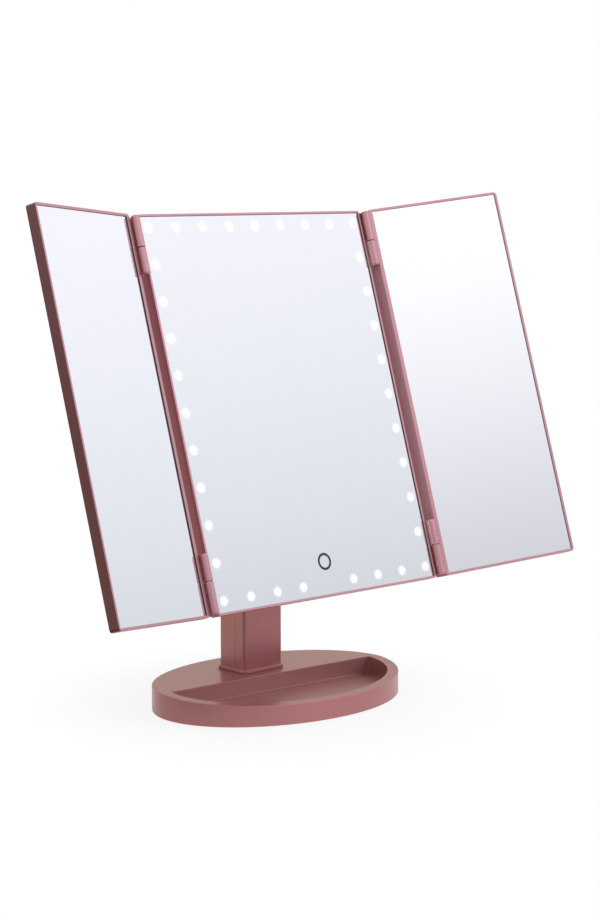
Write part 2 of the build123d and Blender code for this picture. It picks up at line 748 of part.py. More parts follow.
# Front frame: the lip, the ledge for the glass, screw bosses and the four fixed knuckles.
fixed_knuckles = [
    knuckle(
        turned(panel, (side * hinge_x, 0, hinge_proud)),
        -side,
        end * fixed_meets,
        end * fixed_knuckle,
        pin_radius + running,
        end * fixed_knuckle,
    )
    for side in sides.values()
    for end in (-1, 1)
]
with BuildPart() as centre_frame:
    with BuildSketch(panel):
        RectangleRounded(panel_width, panel_height, panel_corner)
    extrude(amount=-frame_depth)
    with BuildSketch(panel):
        Rectangle(panel_width - 2 * frame_lip, panel_height - 2 * frame_lip)
    extrude(amount=ledge_front, mode=Mode.SUBTRACT)
    fillet(
        centre_frame.faces().sort_by(Axis(panel.origin, panel.z_dir))[-1].outer_wire().edges(),
        lip_round,
    )
    with BuildSketch(panel):
        Rectangle(panel_width - 2 * (frame_lip + glue_ledge), panel_height - 2 * (frame_lip + glue_ledge))
    extrude(amount=-frame_depth, mode=Mode.SUBTRACT)
    with BuildSketch(panel.offset(ledge_back)):
        Rectangle(panel_width - 2 * frame_wall, panel_height - 2 * frame_wall)
    extrude(amount=-frame_depth - ledge_back, mode=Mode.SUBTRACT)
    with BuildSketch(panel.offset(ledge_back)):
        with Locations(*cover_screw_places):
            Circle(cover_boss_radius)
            Circle(cover_screw_radius, mode=Mode.SUBTRACT)
    extrude(amount=-frame_depth - ledge_back)
    add(fixed_knuckles)
centre_frame.part.label = "centre_frame"
export_step(centre_frame.part, "parts/centre_frame.step")

# Silvered glass, with shallow seats for the light windows and the touch ring.
with BuildPart() as centre_mirror:
    with BuildSketch(panel.offset(glass_front)):
        Rectangle(panel_width - 2 * (frame_lip + glass_play), panel_height - 2 * (frame_lip + glass_play))
    extrude(amount=-glass_thickness)
    with BuildSketch(panel.offset(glass_front)):
        with Locations(*light_places):
            Circle(light_radius)
        with Locations((0, ring_up)):
            Circle(ring_outer)
            Circle(ring_inner, mode=Mode.SUBTRACT)
    extrude(amount=-print_depth, mode=Mode.SUBTRACT)
centre_mirror.part.label = "centre_mirror"
export_step(centre_mirror.part, "parts/centre_mirror.step")

with BuildPart() as light_windows:
    with BuildSketch(panel.offset(glass_front)):
        with Locations(*light_places):
            Circle(light_radius)
    extrude(amount=-print_depth)
light_windows.part.label = "light_windows"
export_step(light_windows.part, "parts/light_windows.step")

with BuildPart() as touch_ring:
    with BuildSketch(panel.offset(glass_front)):
        with Locations((0, ring_up)):
            Circle(ring_outer)
            Circle(ring_inner, mode=Mode.SUBTRACT)
    extrude(amount=-print_depth)
touch_ring.part.label = "touch_ring"
export_step(touch_ring.part, "parts/touch_ring.step")

# Adhesive foam between the glass and its ledge.
with BuildPart() as centre_tape:
    with BuildSketch(panel.offset(glass_back)):
        Rectangle(panel_width - 2 * (frame_lip + glass_play), panel_height - 2 * (frame_lip + glass_play))
        Rectangle(
            panel_width - 2 * (frame_lip + glue_ledge),
            panel_height - 2 * (frame_lip + glue_ledge),
            mode=Mode.SUBTRACT,
        )
    extrude(amount=-tape_thickness)
centre_tape.part.label = "centre_tape"
export_step(centre_tape.part, "parts/centre_tape.step")

# Ring-shaped light board behind the ledge, notched round the screw bosses.
with BuildPart() as led_board:
    with BuildSketch(panel.offset(ledge_back)):
        Rectangle(panel_width - 2 * board_edge, panel_height - 2 * board_edge)
        Rectangle(
            panel_width - 2 * (board_edge + board_strip),
            panel_height - 2 * (board_edge + board_strip),
            mode=Mode.SUBTRACT,
        )
        with Locations(*cover_screw_places):
            Circle(cover_boss_radius + slip, mode=Mode.SUBTRACT)
    extrude(amount=-board_thickness)
led_board.part.label = "led_board"
export_step(led_board.part, "parts/led_board.step")

with BuildPart() as leds:
    with BuildSketch(panel.offset(ledge_back)):
        with Locations(*light_places):
            Rectangle(led_width, led_height)
    extrude(amount=led_depth)
leds.part.label = "leds"
export_step(leds.part, "parts/leds.step")

# Sensor disc on the back of the glass, under the touch ring.
with BuildPart() as touch_sensor:
    with BuildSketch(panel.offset(glass_back)):
        with Locations((0, ring_up)):
            Circle(sensor_radius)
    extrude(amount=-sensor_thickness)
touch_sensor.part.label = "touch_sensor"
export_step(touch_sensor.part, "parts/touch_sensor.step")

# ================================================================ BACK OF THE HEAD
# Rear cover: a shallow shell with the battery bay, bosses and the hole for the power inlet.
with BuildPart() as rear_cover:
    with BuildSketch(panel.offset(panel_back)):
        RectangleRounded(panel_width - 2 * cover_inset, panel_height - 2 * cover_inset, panel_corner)
    extrude(amount=cover_depth)
    fillet(rear_cover.faces().sort_by(Axis(panel.origin, panel.z_dir))[0].edges(), cover_round)
    with BuildSketch(panel.offset(cover_inner)):
        Rectangle(
            panel_width - 2 * (cover_inset + cover_skin),
            panel_height - 2 * (cover_inset + cover_skin),
        )
    extrude(amount=cover_depth - cover_skin, mode=Mode.SUBTRACT)
    # battery bay, open to the rear and parted in the middle
    with BuildSketch(panel.offset(bay_front)):
        with Locations((0, bay_up)):
            Rectangle(bay_length + 2 * bay_wall, bay_outer_height)
    extrude(amount=bay_rear - bay_front)
    with BuildSketch(panel.offset(bay_rear)):
        with Locations((0, bay_up)):
            Rectangle(bay_length, bay_height)
            Rectangle(divider, bay_height, mode=Mode.SUBTRACT)
    extrude(amount=bay_depth, mode=Mode.SUBTRACT)
    # bosses for the cover screws, the bracket screws and the control board
    with BuildSketch(panel.offset(cover_inner)):
        with Locations(*cover_screw_places):
            Circle(cover_boss_radius)
    extrude(amount=cover_depth - cover_skin)
    with BuildSketch(panel.offset(cover_inner)):
        with Locations((0, pivot_up)):
            with GridLocations(2 * bracket_screw_x, 2 * bracket_screw_y, 2, 2):
                Circle(bracket_boss_radius)
    extrude(amount=bracket_boss_height)
    with BuildSketch(panel.offset(cover_inner)):
        with Locations((-control_boss_x, control_up), (control_boss_x, control_up)):
            Circle(control_boss_radius)
    extrude(amount=control_standoff)
    # holes
    with BuildSketch(panel.offset(panel_back)):
        with Locations((0, pivot_up)):
            with GridLocations(2 * bracket_screw_x, 2 * bracket_screw_y, 2, 2):
                Circle(bracket_screw_radius)
        with Locations(*cover_screw_places):
            Circle(cover_screw_radius + slip)
        with Locations((inlet_x, control_up)):
            Rectangle(inlet_width + 2 * slip, inlet_height + 2 * slip)
    extrude(amount=cover_skin + bracket_boss_height, mode=Mode.SUBTRACT)
    with BuildSketch(panel.offset(panel_back)):
        with Locations(*cover_screw_places):
            Circle(cover_screw_head + slip)
    extrude(amount=cover_screw_head_height, mode=Mode.SUBTRACT)
rear_cover.part.label = "rear_cover"
export_step(rear_cover.part, "parts/rear_cover.step")

with BuildPart() as cover_screws:
    with BuildSketch(panel.offset(panel_back)):
        with Locations(*cover_screw_places):
            Circle(cover_screw_head)
    extrude(amount=cover_screw_head_height)
    with BuildSketch(panel.offset(panel_back)):
        with Locations(*cover_screw_places):
            Circle(cover_screw_radius)
    extrude(amount=ledge_back - panel_back)
cover_screws.part.label = "cover_screws"
export_step(cover_screws.part, "parts/cover_screws.step")

# Door of the battery bay, with finger ridges near its lower edge.
with BuildPart() as battery_door:
    with BuildSketch(panel.offset(bay_rear)):
        with Locations((0, bay_up)):
            Rectangle(bay_length + 2 * bay_wall, bay_outer_height)
    extrude(amount=-door_thickness)
    fillet(battery_door.faces().sort_by(Axis(panel.origin, panel.z_dir))[0].edges(), door_round)
    with BuildSketch(panel.offset(bay_rear - door_thickness)):
        for ridge in range(door_ridges):
            with Locations((0, bay_up - bay_height / 2 + door_ridge_pitch * (ridge + 1))):
                Rectangle(door_ridge_length, door_ridge_width)
    extrude(amount=-door_ridge_height)
battery_door.part.label = "battery_door"
export_step(battery_door.part, "parts/battery_door.step")

# Four cells in two rows, which point opposite ways.
with BuildPart() as battery_cells:
    for up, middle, way in cells:
        with BuildSketch(across_bay(middle + way * (cell_half - cell_button_height), up)):
            Circle(cell_radius)
        extrude(amount=-way * cell_length)
        with BuildSketch(across_bay(middle + way * (cell_half - cell_button_height), up)):
            Circle(cell_button_radius)
        extrude(amount=way * cell_button_height)
battery_cells.part.label = "battery_cells"
export_step(battery_cells.part, "parts/battery_cells.step")

# Conical wire springs behind the flat ends of the cells.
with BuildPart() as battery_springs:
    for up, middle, way in cells:
        seat = across_bay(middle - way * (cell_half - spring_wire), up, way)
        with BuildLine(seat) as coil:
            Helix(
                pitch=(spring_length - 2 * spring_wire) / spring_turns,
                height=spring_length - 2 * spring_wire,
                radius=spring_radius,
                direction=seat.z_dir,
                cone_angle=-spring_taper,
            )
        with BuildSketch(Plane(origin=coil.line @ 0, z_dir=coil.line % 0)):
            Circle(spring_wire)
        sweep(path=coil.line, is_frenet=True)
battery_springs.part.label = "battery_springs"
export_step(battery_springs.part, "parts/battery_springs.step")

# Contact plates at both ends of each cell.
with BuildPart() as battery_plates:
    for up, middle, way in cells:
        for end in (-1, 1):
            with BuildSketch(across_bay(middle + end * cell_half, up)):
                Rectangle(2 * cell_radius, 2 * cell_radius + cell_spacing - contact_margin)
            extrude(amount=end * contact_thickness)
battery_plates.part.label = "battery_plates"
export_step(battery_plates.part, "parts/battery_plates.step")

# Control board on its two bosses, with its largest chip.
with BuildPart() as control_board:
    with BuildSketch(panel.offset(control_back)):
        with Locations((0, control_up)):
            Rectangle(control_width, control_height)
    extrude(amount=board_thickness)
    with BuildSketch(panel.offset(control_back + board_thickness)):
        with Locations((chip_x, control_up)):
            Rectangle(chip_size, chip_size)
    extrude(amount=chip_height)
control_board.part.label = "control_board"
export_step(control_board.part, "parts/control_board.step")

# Power inlet that stands on the control board and opens to the rear.
with BuildPart() as power_inlet:
    with BuildSketch(panel.offset(control_back)):
        with Locations((inlet_x, control_up)):
            Rectangle(inlet_width, inlet_height)
    extrude(amount=panel_back - control_back)
    with BuildSketch(panel.offset(control_back - inlet_back)):
        with Locations((inlet_x, control_up)):
            Rectangle(inlet_width - 2 * inlet_wall, inlet_height - 2 * inlet_wall)
    extrude(amount=panel_back - control_back, mode=Mode.SUBTRACT)
power_inlet.part.label = "power_inlet"
export_step(power_inlet.part, "parts/power_inlet.step")

# Leads: one pair from the control board up to the battery bay, one pair down to the light board.
lead_depth = control_back + board_thickness / 2
board_depth = ledge_back - board_thickness / 2
bay_lead_ends = (control_up + control_height / 2, bay_up - bay_outer_height / 2)
board_lead_ends = (control_up - control_height / 2, board_edge + board_strip - panel_mid)
lead_runs = [
    (*bay_lead_ends, lead_bend, lead_depth + lead_rise),
    (*board_lead_ends, -lead_bend, board_depth),
]
with BuildPart() as head_wiring:
    for side in (-1, 1):
        for start, end, bend, end_depth in lead_runs:
            with BuildLine(panel) as route:
                FilletPolyline(
                    (side * lead_spread, start, lead_depth),
                    (side * lead_spread, start + bend, lead_depth),
                    (side * lead_spread, end - bend, end_depth),
                    (side * lead_spread, end, end_depth),
                    radius=lead_bend,
                )
            with BuildSketch(Plane(origin=route.line @ 0, z_dir=route.line % 0)):
                Circle(lead_radius)
            sweep(path=route.line)
head_wiring.part.label = "head_wiring"
export_step(head_wiring.part, "parts/head_wiring.step")

# ================================================================ WINGS
for name, side in sides.items():
    hinge = hinges[name]
    face = turned(hinge, (side * (hinge_gap + wing_width / 2), 0, -hinge_proud))
    opening = turned(face, (side * (wing_hinge_lip - wing_lip) / 2, 0, 0))
    moving_knuckles = [
        knuckle(
            hinge,
            side,
            end * moving_meets,
            -end * moving_knuckle,
            pin_radius,
            -end * moving_bore,
        )
        for end in (-1, 1)
    ]

    # Wing frame: the lip, the seat for the glass, a ribbed hollow back and two moving knuckles.
    with BuildPart() as wing_frame:
        with BuildSketch(turned(face, turn=(-90, 0, 0))):
            with BuildLine():
                Polyline(
                    (-side * wing_width / 2, 0),
                    (side * wing_width / 2, 0),
                    (side * wing_width / 2, wing_depth),
                    (-side * (wing_width / 2 + wing_heel), wing_depth),
                    close=True,
                )
            make_face()
        extrude(amount=panel_height / 2, both=True)
        ends = wing_frame.faces().sort_by(Axis(face.origin, face.y_dir))
        fillet(
            [
                edge
                for end in (ends[0], ends[-1])
                for edge in end.edges().sort_by(lambda edge: edge.length)[:2]
            ],
            panel_corner,
        )
        with BuildSketch(opening):
            Rectangle(wing_open_width, panel_height - 2 * wing_lip)
        extrude(amount=wing_web_front, mode=Mode.SUBTRACT)
        fillet(
            wing_frame.faces().sort_by(Axis(face.origin, face.z_dir))[-1].outer_wire().edges(),
            lip_round,
        )
        with BuildSketch(face.offset(-wing_depth)):
            Rectangle(wing_width - 2 * wing_wall, panel_height - 2 * wing_wall)
        extrude(amount=wing_depth + wing_web_back, mode=Mode.SUBTRACT)
        with BuildSketch(face.offset(wing_web_back)):
            with GridLocations(0, panel_height / (rib_count + 1), 1, rib_count):
                Rectangle(wing_width - wing_wall, rib_width)
        extrude(amount=wing_back_thickness - wing_depth - wing_web_back)
        add(moving_knuckles)
    wing_frame.part.label = f"{name}_wing_frame"
    export_step(wing_frame.part, f"parts/{name}_wing_frame.step")

    with BuildPart() as wing_mirror:
        with BuildSketch(opening.offset(glass_front)):
            Rectangle(wing_open_width - 2 * glass_play, panel_height - 2 * (wing_lip + glass_play))
        extrude(amount=-glass_thickness)
    wing_mirror.part.label = f"{name}_wing_mirror"
    export_step(wing_mirror.part, f"parts/{name}_wing_mirror.step")

    # Adhesive foam sheet behind the glass.
    with BuildPart() as wing_tape:
        with BuildSketch(opening.offset(wing_glass_back)):
            Rectangle(wing_open_width - 2 * glue_ledge, panel_height - 2 * (wing_lip + glue_ledge))
        extrude(amount=-wing_tape_thickness)
    wing_tape.part.label = f"{name}_wing_tape"
    export_step(wing_tape.part, f"parts/{name}_wing_tape.step")

    # Back cover, set in flush.
    with BuildPart() as wing_back:
        with BuildSketch(face.offset(-wing_depth)):
            Rectangle(wing_width - 2 * (wing_wall + slip), panel_height - 2 * (wing_wall + slip))
        extrude(amount=wing_back_thickness)
    wing_back.part.label = f"{name}_wing_back"
    export_step(wing_back.part, f"parts/{name}_wing_back.step")

    # Hinge pins, driven in from the ends: tight in the wing, free in the panel.
    with BuildPart() as hinge_pins:
        for end in (-1, 1):
            with BuildSketch(turned(hinge, (0, end * (moving_meets - moving_bore), 0), (-90, 0, 0))):
                Circle(pin_radius)
            extrude(amount=end * pin_length)
    hinge_pins.part.label = f"{name}_hinge_pins"
    export_step(hinge_pins.part, f"parts/{name}_hinge_pins.step")
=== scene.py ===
"""Trifold vanity mirror with a lit centre panel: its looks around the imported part."""

from math import cos, radians, sin

import bpy
from mathutils import Matrix


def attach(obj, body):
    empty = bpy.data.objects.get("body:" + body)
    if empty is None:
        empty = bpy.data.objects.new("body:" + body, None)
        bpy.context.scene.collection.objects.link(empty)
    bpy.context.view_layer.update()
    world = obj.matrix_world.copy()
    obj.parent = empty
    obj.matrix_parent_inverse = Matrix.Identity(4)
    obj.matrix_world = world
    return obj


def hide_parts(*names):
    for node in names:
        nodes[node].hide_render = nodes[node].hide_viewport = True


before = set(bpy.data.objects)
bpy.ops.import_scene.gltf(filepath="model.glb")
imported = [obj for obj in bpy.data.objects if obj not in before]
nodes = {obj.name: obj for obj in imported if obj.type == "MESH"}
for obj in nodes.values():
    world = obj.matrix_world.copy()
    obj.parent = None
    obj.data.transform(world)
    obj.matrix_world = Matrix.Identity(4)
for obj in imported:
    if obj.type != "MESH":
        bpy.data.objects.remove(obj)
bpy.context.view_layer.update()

# ---------------------------------------------------------------- camera
# Stands to the left of the mirror and a little above its middle, level but for a slight tilt down.
# It takes the place of the eye, so it isn't part of the object.
eye_place = (-0.95606, -1.20869, 0.37973)
eye_down, eye_right = 7.543, 38.96
eye_lens, eye_sensor = 84.88, 36
bpy.ops.object.select_all(action="DESELECT")
bpy.ops.object.camera_add(
    location=eye_place, rotation=(radians(90 - eye_down), 0, -radians(eye_right))
)
camera = bpy.context.object
camera.name = "camera"
camera.data.lens = eye_lens
camera.data.sensor_width = eye_sensor
camera.data.sensor_fit = "AUTO"
camera.data.dof.use_dof = False
bpy.context.scene.camera = camera

# ---------------------------------------------------------------- studio
# A white sweep in a soft white room that greys towards its foot and has a window in front, which
# is what the mirrors show. The satin paint also shows it warmer behind, brighter on the right in
# front and dark low down on the left.
studio = bpy.data.worlds.new("studio")
bpy.context.scene.world = studio
bpy.context.scene.view_settings.view_transform = "Standard"
studio.use_nodes = True
room = studio.node_tree
room.nodes.clear()
heading = room.nodes.new("ShaderNodeTexCoord")
up_and_back = (0, 0.33, 1)
rise = room.nodes.new("ShaderNodeVectorMath")
rise.operation = "DOT_PRODUCT"
rise.inputs[1].default_value = up_and_back
sweep = room.nodes.new("ShaderNodeMapRange")
sweep.inputs["From Min"].default_value = -0.6
sweep.inputs["From Max"].default_value = 0.6
wall_tones = room.nodes.new("ShaderNodeValToRGB")
wall_stops = wall_tones.color_ramp.elements
wall_stops[0].color = (0.24, 0.23, 0.23, 1)
wall_stops[1].color = (1.03, 1.03, 1.07, 1)
for place, tone in (
    (0.38, (0.46, 0.46, 0.48, 1)),
    (0.53, (0.71, 0.73, 0.77, 1)),
    (0.57, (0.80, 0.815, 0.86, 1)),
    (0.63, (0.90, 0.91, 0.965, 1)),
    (0.70, (0.985, 0.985, 1.04, 1)),
):
    wall_stops.new(place).color = tone


def toward(way, start, end):
    """How far a direction of the room points that way, from 0 to 1 between a start and an end."""
    along = room.nodes.new("ShaderNodeVectorMath")
    along.operation = "DOT_PRODUCT"
    along.inputs[1].default_value = way
    span = room.nodes.new("ShaderNodeMapRange")
    span.interpolation_type = "SMOOTHSTEP"
    span.inputs["From Min"].default_value = start
    span.inputs["From Max"].default_value = end
    room.links.new(heading.outputs["Generated"], along.inputs[0])
    room.links.new(along.outputs["Value"], span.inputs["Value"])
    return span.outputs["Result"]


def tinted(colour, tint, blend, factor=None):
    """Changes the tone of the room by a tint, all over or only where a factor asks for it."""
    mix = room.nodes.new("ShaderNodeMix")
    mix.data_type = "RGBA"
    mix.blend_type = blend
    mix.inputs["Factor"].default_value = 1
    mix.inputs["B"].default_value = (*tint, 1)
    if factor is not None:
        room.links.new(factor, mix.inputs["Factor"])
    room.links.new(colour, mix.inputs["A"])
    return mix.outputs["Result"]


front_window = room.nodes.new("ShaderNodeMath")
front_window.operation = "MULTIPLY"
room.links.new(toward((0, -1, 0), 0.66, 0.90), front_window.inputs[0])
room.links.new(toward(up_and_back, -0.02, 0.20), front_window.inputs[1])
wall = tinted(wall_tones.outputs["Color"], (0.19, 0.19, 0.15), "ADD", front_window.outputs["Value"])
wall = tinted(wall, (1.0, 0.972, 1.0), "MULTIPLY", toward((0, -1, 0), 0.7, 0.9))
far_grey = (0.66, 0.68, 0.72)
mirror_wall = tinted(wall, far_grey, "LIGHTEN")
satin_wall = wall
for tint, way, start, end in (
    ((0.68, 0.66, 0.55), (0, 1, 0), 0.0, 0.7),
    ((1.35, 1.30, 1.36), (0.45, -0.80, 0.35), 0.6, 0.95),
    ((0.10, 0.08, 0.08), (-0.86, 0.08, -0.50), 0.74, 0.90),
):
    satin_wall = tinted(satin_wall, tint, "MULTIPLY", toward(way, start, end))
rays = room.nodes.new("ShaderNodeLightPath")
room_seen = room.nodes.new("ShaderNodeMix")
room_seen.data_type = "RGBA"
seen_in_gloss = room.nodes.new("ShaderNodeBackground")
seen_straight = room.nodes.new("ShaderNodeBackground")
seen_straight.inputs["Color"].default_value = (1, 1, 1, 1)
room_light = room.nodes.new("ShaderNodeBackground")
room_light.inputs["Strength"].default_value = 0.72
shiny = room.nodes.new("ShaderNodeMath")
shiny.operation = "MAXIMUM"
gloss_or_light = room.nodes.new("ShaderNodeMixShader")
straight_or_rest = room.nodes.new("ShaderNodeMixShader")
world_output = room.nodes.new("ShaderNodeOutputWorld")
for start, end in (
    (heading.outputs["Generated"], rise.inputs[0]),
    (rise.outputs["Value"], sweep.inputs["Value"]),
    (sweep.outputs["Result"], wall_tones.inputs["Fac"]),
    (satin_wall, room_seen.inputs["A"]),
    (mirror_wall, room_seen.inputs["B"]),
    (rays.outputs["Is Singular Ray"], room_seen.inputs["Factor"]),
    (room_seen.outputs["Result"], seen_in_gloss.inputs["Color"]),
    (rays.outputs["Is Glossy Ray"], shiny.inputs[0]),
    (rays.outputs["Is Transmission Ray"], shiny.inputs[1]),
    (shiny.outputs["Value"], gloss_or_light.inputs["Fac"]),
    (room_light.outputs["Background"], gloss_or_light.inputs[1]),
    (seen_in_gloss.outputs["Background"], gloss_or_light.inputs[2]),
    (rays.outputs["Is Camera Ray"], straight_or_rest.inputs["Fac"]),
    (gloss_or_light.outputs["Shader"], straight_or_rest.inputs[1]),
    (seen_straight.outputs["Background"], straight_or_rest.inputs[2]),
    (straight_or_rest.outputs["Shader"], world_output.inputs["Surface"]),
):
    room.links.new(start, end)

# One broad soft lamp high on the right and one weak one on the left, kept out of the mirrors.
for name, place, turn, size, power in (
    ("key_lamp", (0.9, -1.35, 1.0), (63.7, 0, 33.7), 0.9, 14.0),
    ("fill_lamp", (-1.3, -0.7, 0.9), (62, 0, -62), 0.8, 0.9),
):
    bpy.ops.object.light_add(
        type="AREA", location=place, rotation=[radians(degrees) for degrees in turn]
    )
    lamp = bpy.context.object
    lamp.name = name
    lamp.data.size = size
    lamp.data.energy = power
    lamp.visible_glossy = False

# The sweep under the stand: white paper that keeps a soft shadow and fades to clear white. In the
# mirrors it greys with distance, and the satin paint shows it in the tones of the room round it.
sweep_size, sweep_shadow, sweep_clear = 3, 0.08, 0.20
bpy.ops.mesh.primitive_plane_add(size=sweep_size)
floor = bpy.context.object
floor.name = "floor"
paper = bpy.data.materials.new("white_paper")
paper.use_nodes = True
sheet = paper.node_tree
paper_shader = sheet.nodes["Principled BSDF"]
paper_shader.inputs["Roughness"].default_value = 0.9
paper_shader.inputs["Specular IOR Level"].default_value = 0.1
paper_place = sheet.nodes.new("ShaderNodeTexCoord")
fibre = sheet.nodes.new("ShaderNodeTexNoise")
fibre.inputs["Scale"].default_value = 900
fibre_tone = sheet.nodes.new("ShaderNodeValToRGB")
fibre_tone.color_ramp.elements[0].color = (0.93, 0.93, 0.93, 1)
fibre_tone.color_ramp.elements[1].color = (0.96, 0.96, 0.96, 1)
around = sheet.nodes.new("ShaderNodeVectorMath")
around.operation = "LENGTH"
fade = sheet.nodes.new("ShaderNodeMapRange")
fade.interpolation_type = "SMOOTHSTEP"
fade.inputs["From Min"].default_value = sweep_shadow
fade.inputs["From Max"].default_value = sweep_clear
fade.inputs["To Min"].default_value = 0.85
clear_white = sheet.nodes.new("ShaderNodeEmission")
clear_white.inputs["Strength"].default_value = 1
paper_rays = sheet.nodes.new("ShaderNodeLightPath")
satin_only = sheet.nodes.new("ShaderNodeMath")
satin_only.operation = "SUBTRACT"
satin_only.use_clamp = True
sheet.links.new(paper_rays.outputs["Is Glossy Ray"], satin_only.inputs[0])
sheet.links.new(paper_rays.outputs["Is Singular Ray"], satin_only.inputs[1])


def paper_tone(colour, tint, way, start, end):
    """Tints the paper, for what the satin paint shows of it, further out in one direction."""
    along = sheet.nodes.new("ShaderNodeVectorMath")
    along.operation = "DOT_PRODUCT"
    along.inputs[1].default_value = way
    span = sheet.nodes.new("ShaderNodeMapRange")
    span.inputs["From Min"].default_value = start
    span.inputs["From Max"].default_value = end
    satin_part = sheet.nodes.new("ShaderNodeMath")
    satin_part.operation = "MULTIPLY"
    mix = sheet.nodes.new("ShaderNodeMix")
    mix.data_type = "RGBA"
    mix.inputs["A"].default_value = (1, 1, 1, 1)
    mix.inputs["B"].default_value = (*tint, 1)
    if colour is not None:
        sheet.links.new(colour, mix.inputs["A"])
    sheet.links.new(paper_place.outputs["Object"], along.inputs[0])
    sheet.links.new(along.outputs["Value"], span.inputs["Value"])
    sheet.links.new(span.outputs["Result"], satin_part.inputs[0])
    sheet.links.new(satin_only.outputs["Value"], satin_part.inputs[1])
    sheet.links.new(satin_part.outputs["Value"], mix.inputs["Factor"])
    return mix.outputs["Result"]


# Painted reflections: to glossy rays the paper is tinted, darker on the left and warmer behind, for
# what the satin paint shows of it.
paper_colour = None
for tint, way, start, end in (
    ((0.86, 0.80, 0.81), (0.77, -0.63, 0), -0.02, 0.08),
    ((0.20, 0.18, 0.16), (-0.95, -0.1, 0), 0.02, 0.25),
    ((0.84, 0.82, 0.56), (-0.45, 0.89, 0), 0.12, 0.4),
):
    paper_colour = paper_tone(paper_colour, tint, way, start, end)
far_off = sheet.nodes.new("ShaderNodeMapRange")
far_off.inputs["From Min"].default_value = 0.3
far_off.inputs["From Max"].default_value = sweep_size / 2 - 0.05
in_mirrors = sheet.nodes.new("ShaderNodeMath")
in_mirrors.operation = "MULTIPLY"
mirror_tone = sheet.nodes.new("ShaderNodeMix")
mirror_tone.data_type = "RGBA"
mirror_tone.inputs["B"].default_value = (*far_grey, 1)
# Painted shade: to diffuse rays the paper turns nearly black to the left of the stand, which shades
# the object's left sides.
left_of_stand = sheet.nodes.new("ShaderNodeVectorMath")
left_of_stand.operation = "DOT_PRODUCT"
left_of_stand.inputs[1].default_value = (-1, 0, 0)
dim_part = sheet.nodes.new("ShaderNodeMapRange")
dim_part.inputs["From Min"].default_value = 0.16
dim_part.inputs["From Max"].default_value = 0.34
dim_light = sheet.nodes.new("ShaderNodeMath")
dim_light.operation = "MULTIPLY"
dim_paper = sheet.nodes.new("ShaderNodeMix")
dim_paper.data_type = "RGBA"
dim_paper.inputs["B"].default_value = (0.07, 0.06, 0.06, 1)
paper_seen = sheet.nodes.new("ShaderNodeMath")
paper_seen.operation = "MAXIMUM"
paper_shown = sheet.nodes.new("ShaderNodeMath")
paper_shown.operation = "MAXIMUM"
paper_fade = sheet.nodes.new("ShaderNodeMath")
paper_fade.operation = "MULTIPLY"
paper_mix = sheet.nodes.new("ShaderNodeMixShader")
for start, end in (
    (paper_place.outputs["Object"], fibre.inputs["Vector"]),
    (fibre.outputs["Fac"], fibre_tone.inputs["Fac"]),
    (fibre_tone.outputs["Color"], dim_paper.inputs["A"]),
    (paper_place.outputs["Object"], left_of_stand.inputs[0]),
    (left_of_stand.outputs["Value"], dim_part.inputs["Value"]),
    (dim_part.outputs["Result"], dim_light.inputs[0]),
    (paper_rays.outputs["Is Diffuse Ray"], dim_light.inputs[1]),
    (dim_light.outputs["Value"], dim_paper.inputs["Factor"]),
    (dim_paper.outputs["Result"], paper_shader.inputs["Base Color"]),
    (paper_place.outputs["Object"], around.inputs[0]),
    (around.outputs["Value"], fade.inputs["Value"]),
    (around.outputs["Value"], far_off.inputs["Value"]),
    (far_off.outputs["Result"], in_mirrors.inputs[0]),
    (paper_rays.outputs["Is Singular Ray"], in_mirrors.inputs[1]),
    (paper_colour, mirror_tone.inputs["A"]),
    (in_mirrors.outputs["Value"], mirror_tone.inputs["Factor"]),
    (mirror_tone.outputs["Result"], clear_white.inputs["Color"]),
    (paper_rays.outputs["Is Camera Ray"], paper_seen.inputs[0]),
    (paper_rays.outputs["Is Glossy Ray"], paper_seen.inputs[1]),
    (paper_seen.outputs["Value"], paper_shown.inputs[0]),
    (paper_rays.outputs["Is Transmission Ray"], paper_shown.inputs[1]),
    (paper_shown.outputs["Value"], paper_fade.inputs[0]),
    (fade.outputs["Result"], paper_fade.inputs[1]),
    (paper_fade.outputs["Value"], paper_mix.inputs["Fac"]),
    (paper_shader.outputs["BSDF"], paper_mix.inputs[1]),
    (clear_white.outputs["Emission"], paper_mix.inputs[2]),
    (paper_mix.outputs["Shader"], sheet.nodes["Material Output"].inputs["Surface"]),
):
    sheet.links.new(start, end)
floor.data.materials.append(paper)


# ---------------------------------------------------------------- base casing
# Oval upper casing with a half-moon tray, moulded in ABS and sprayed with satin rose-gold paint
# over a fine metallic flake. Its rim is flat behind the tray and falls gently to the front.
mm = 0.001


def finish(name, colour, metallic=0.0, roughness=0.5, coat=0.0, coat_roughness=0.03):
    """A finish of one colour, under a clear coat if asked, ready for its grain."""
    material = bpy.data.materials.new(name)
    material.use_nodes = True
    shader = material.node_tree.nodes["Principled BSDF"]
    shader.inputs["Base Color"].default_value = (*colour, 1)
    shader.inputs["Metallic"].default_value = metallic
    shader.inputs["Roughness"].default_value = roughness
    shader.inputs["Coat Weight"].default_value = coat
    shader.inputs["Coat Roughness"].default_value = coat_roughness
    return material


def grain(material, size, stretch=(1, 1, 1), detail=2.0):
    """A noise pattern with spots of that size in millimetres, drawn out along an axis if asked."""
    tree = material.node_tree
    place = tree.nodes.new("ShaderNodeTexCoord")
    turn = tree.nodes.new("ShaderNodeMapping")
    turn.inputs["Scale"].default_value = stretch
    noise = tree.nodes.new("ShaderNodeTexNoise")
    noise.inputs["Scale"].default_value = 1 / (size * mm)
    noise.inputs["Detail"].default_value = detail
    tree.links.new(place.outputs["Object"], turn.inputs["Vector"])
    tree.links.new(turn.outputs["Vector"], noise.inputs["Vector"])
    return noise


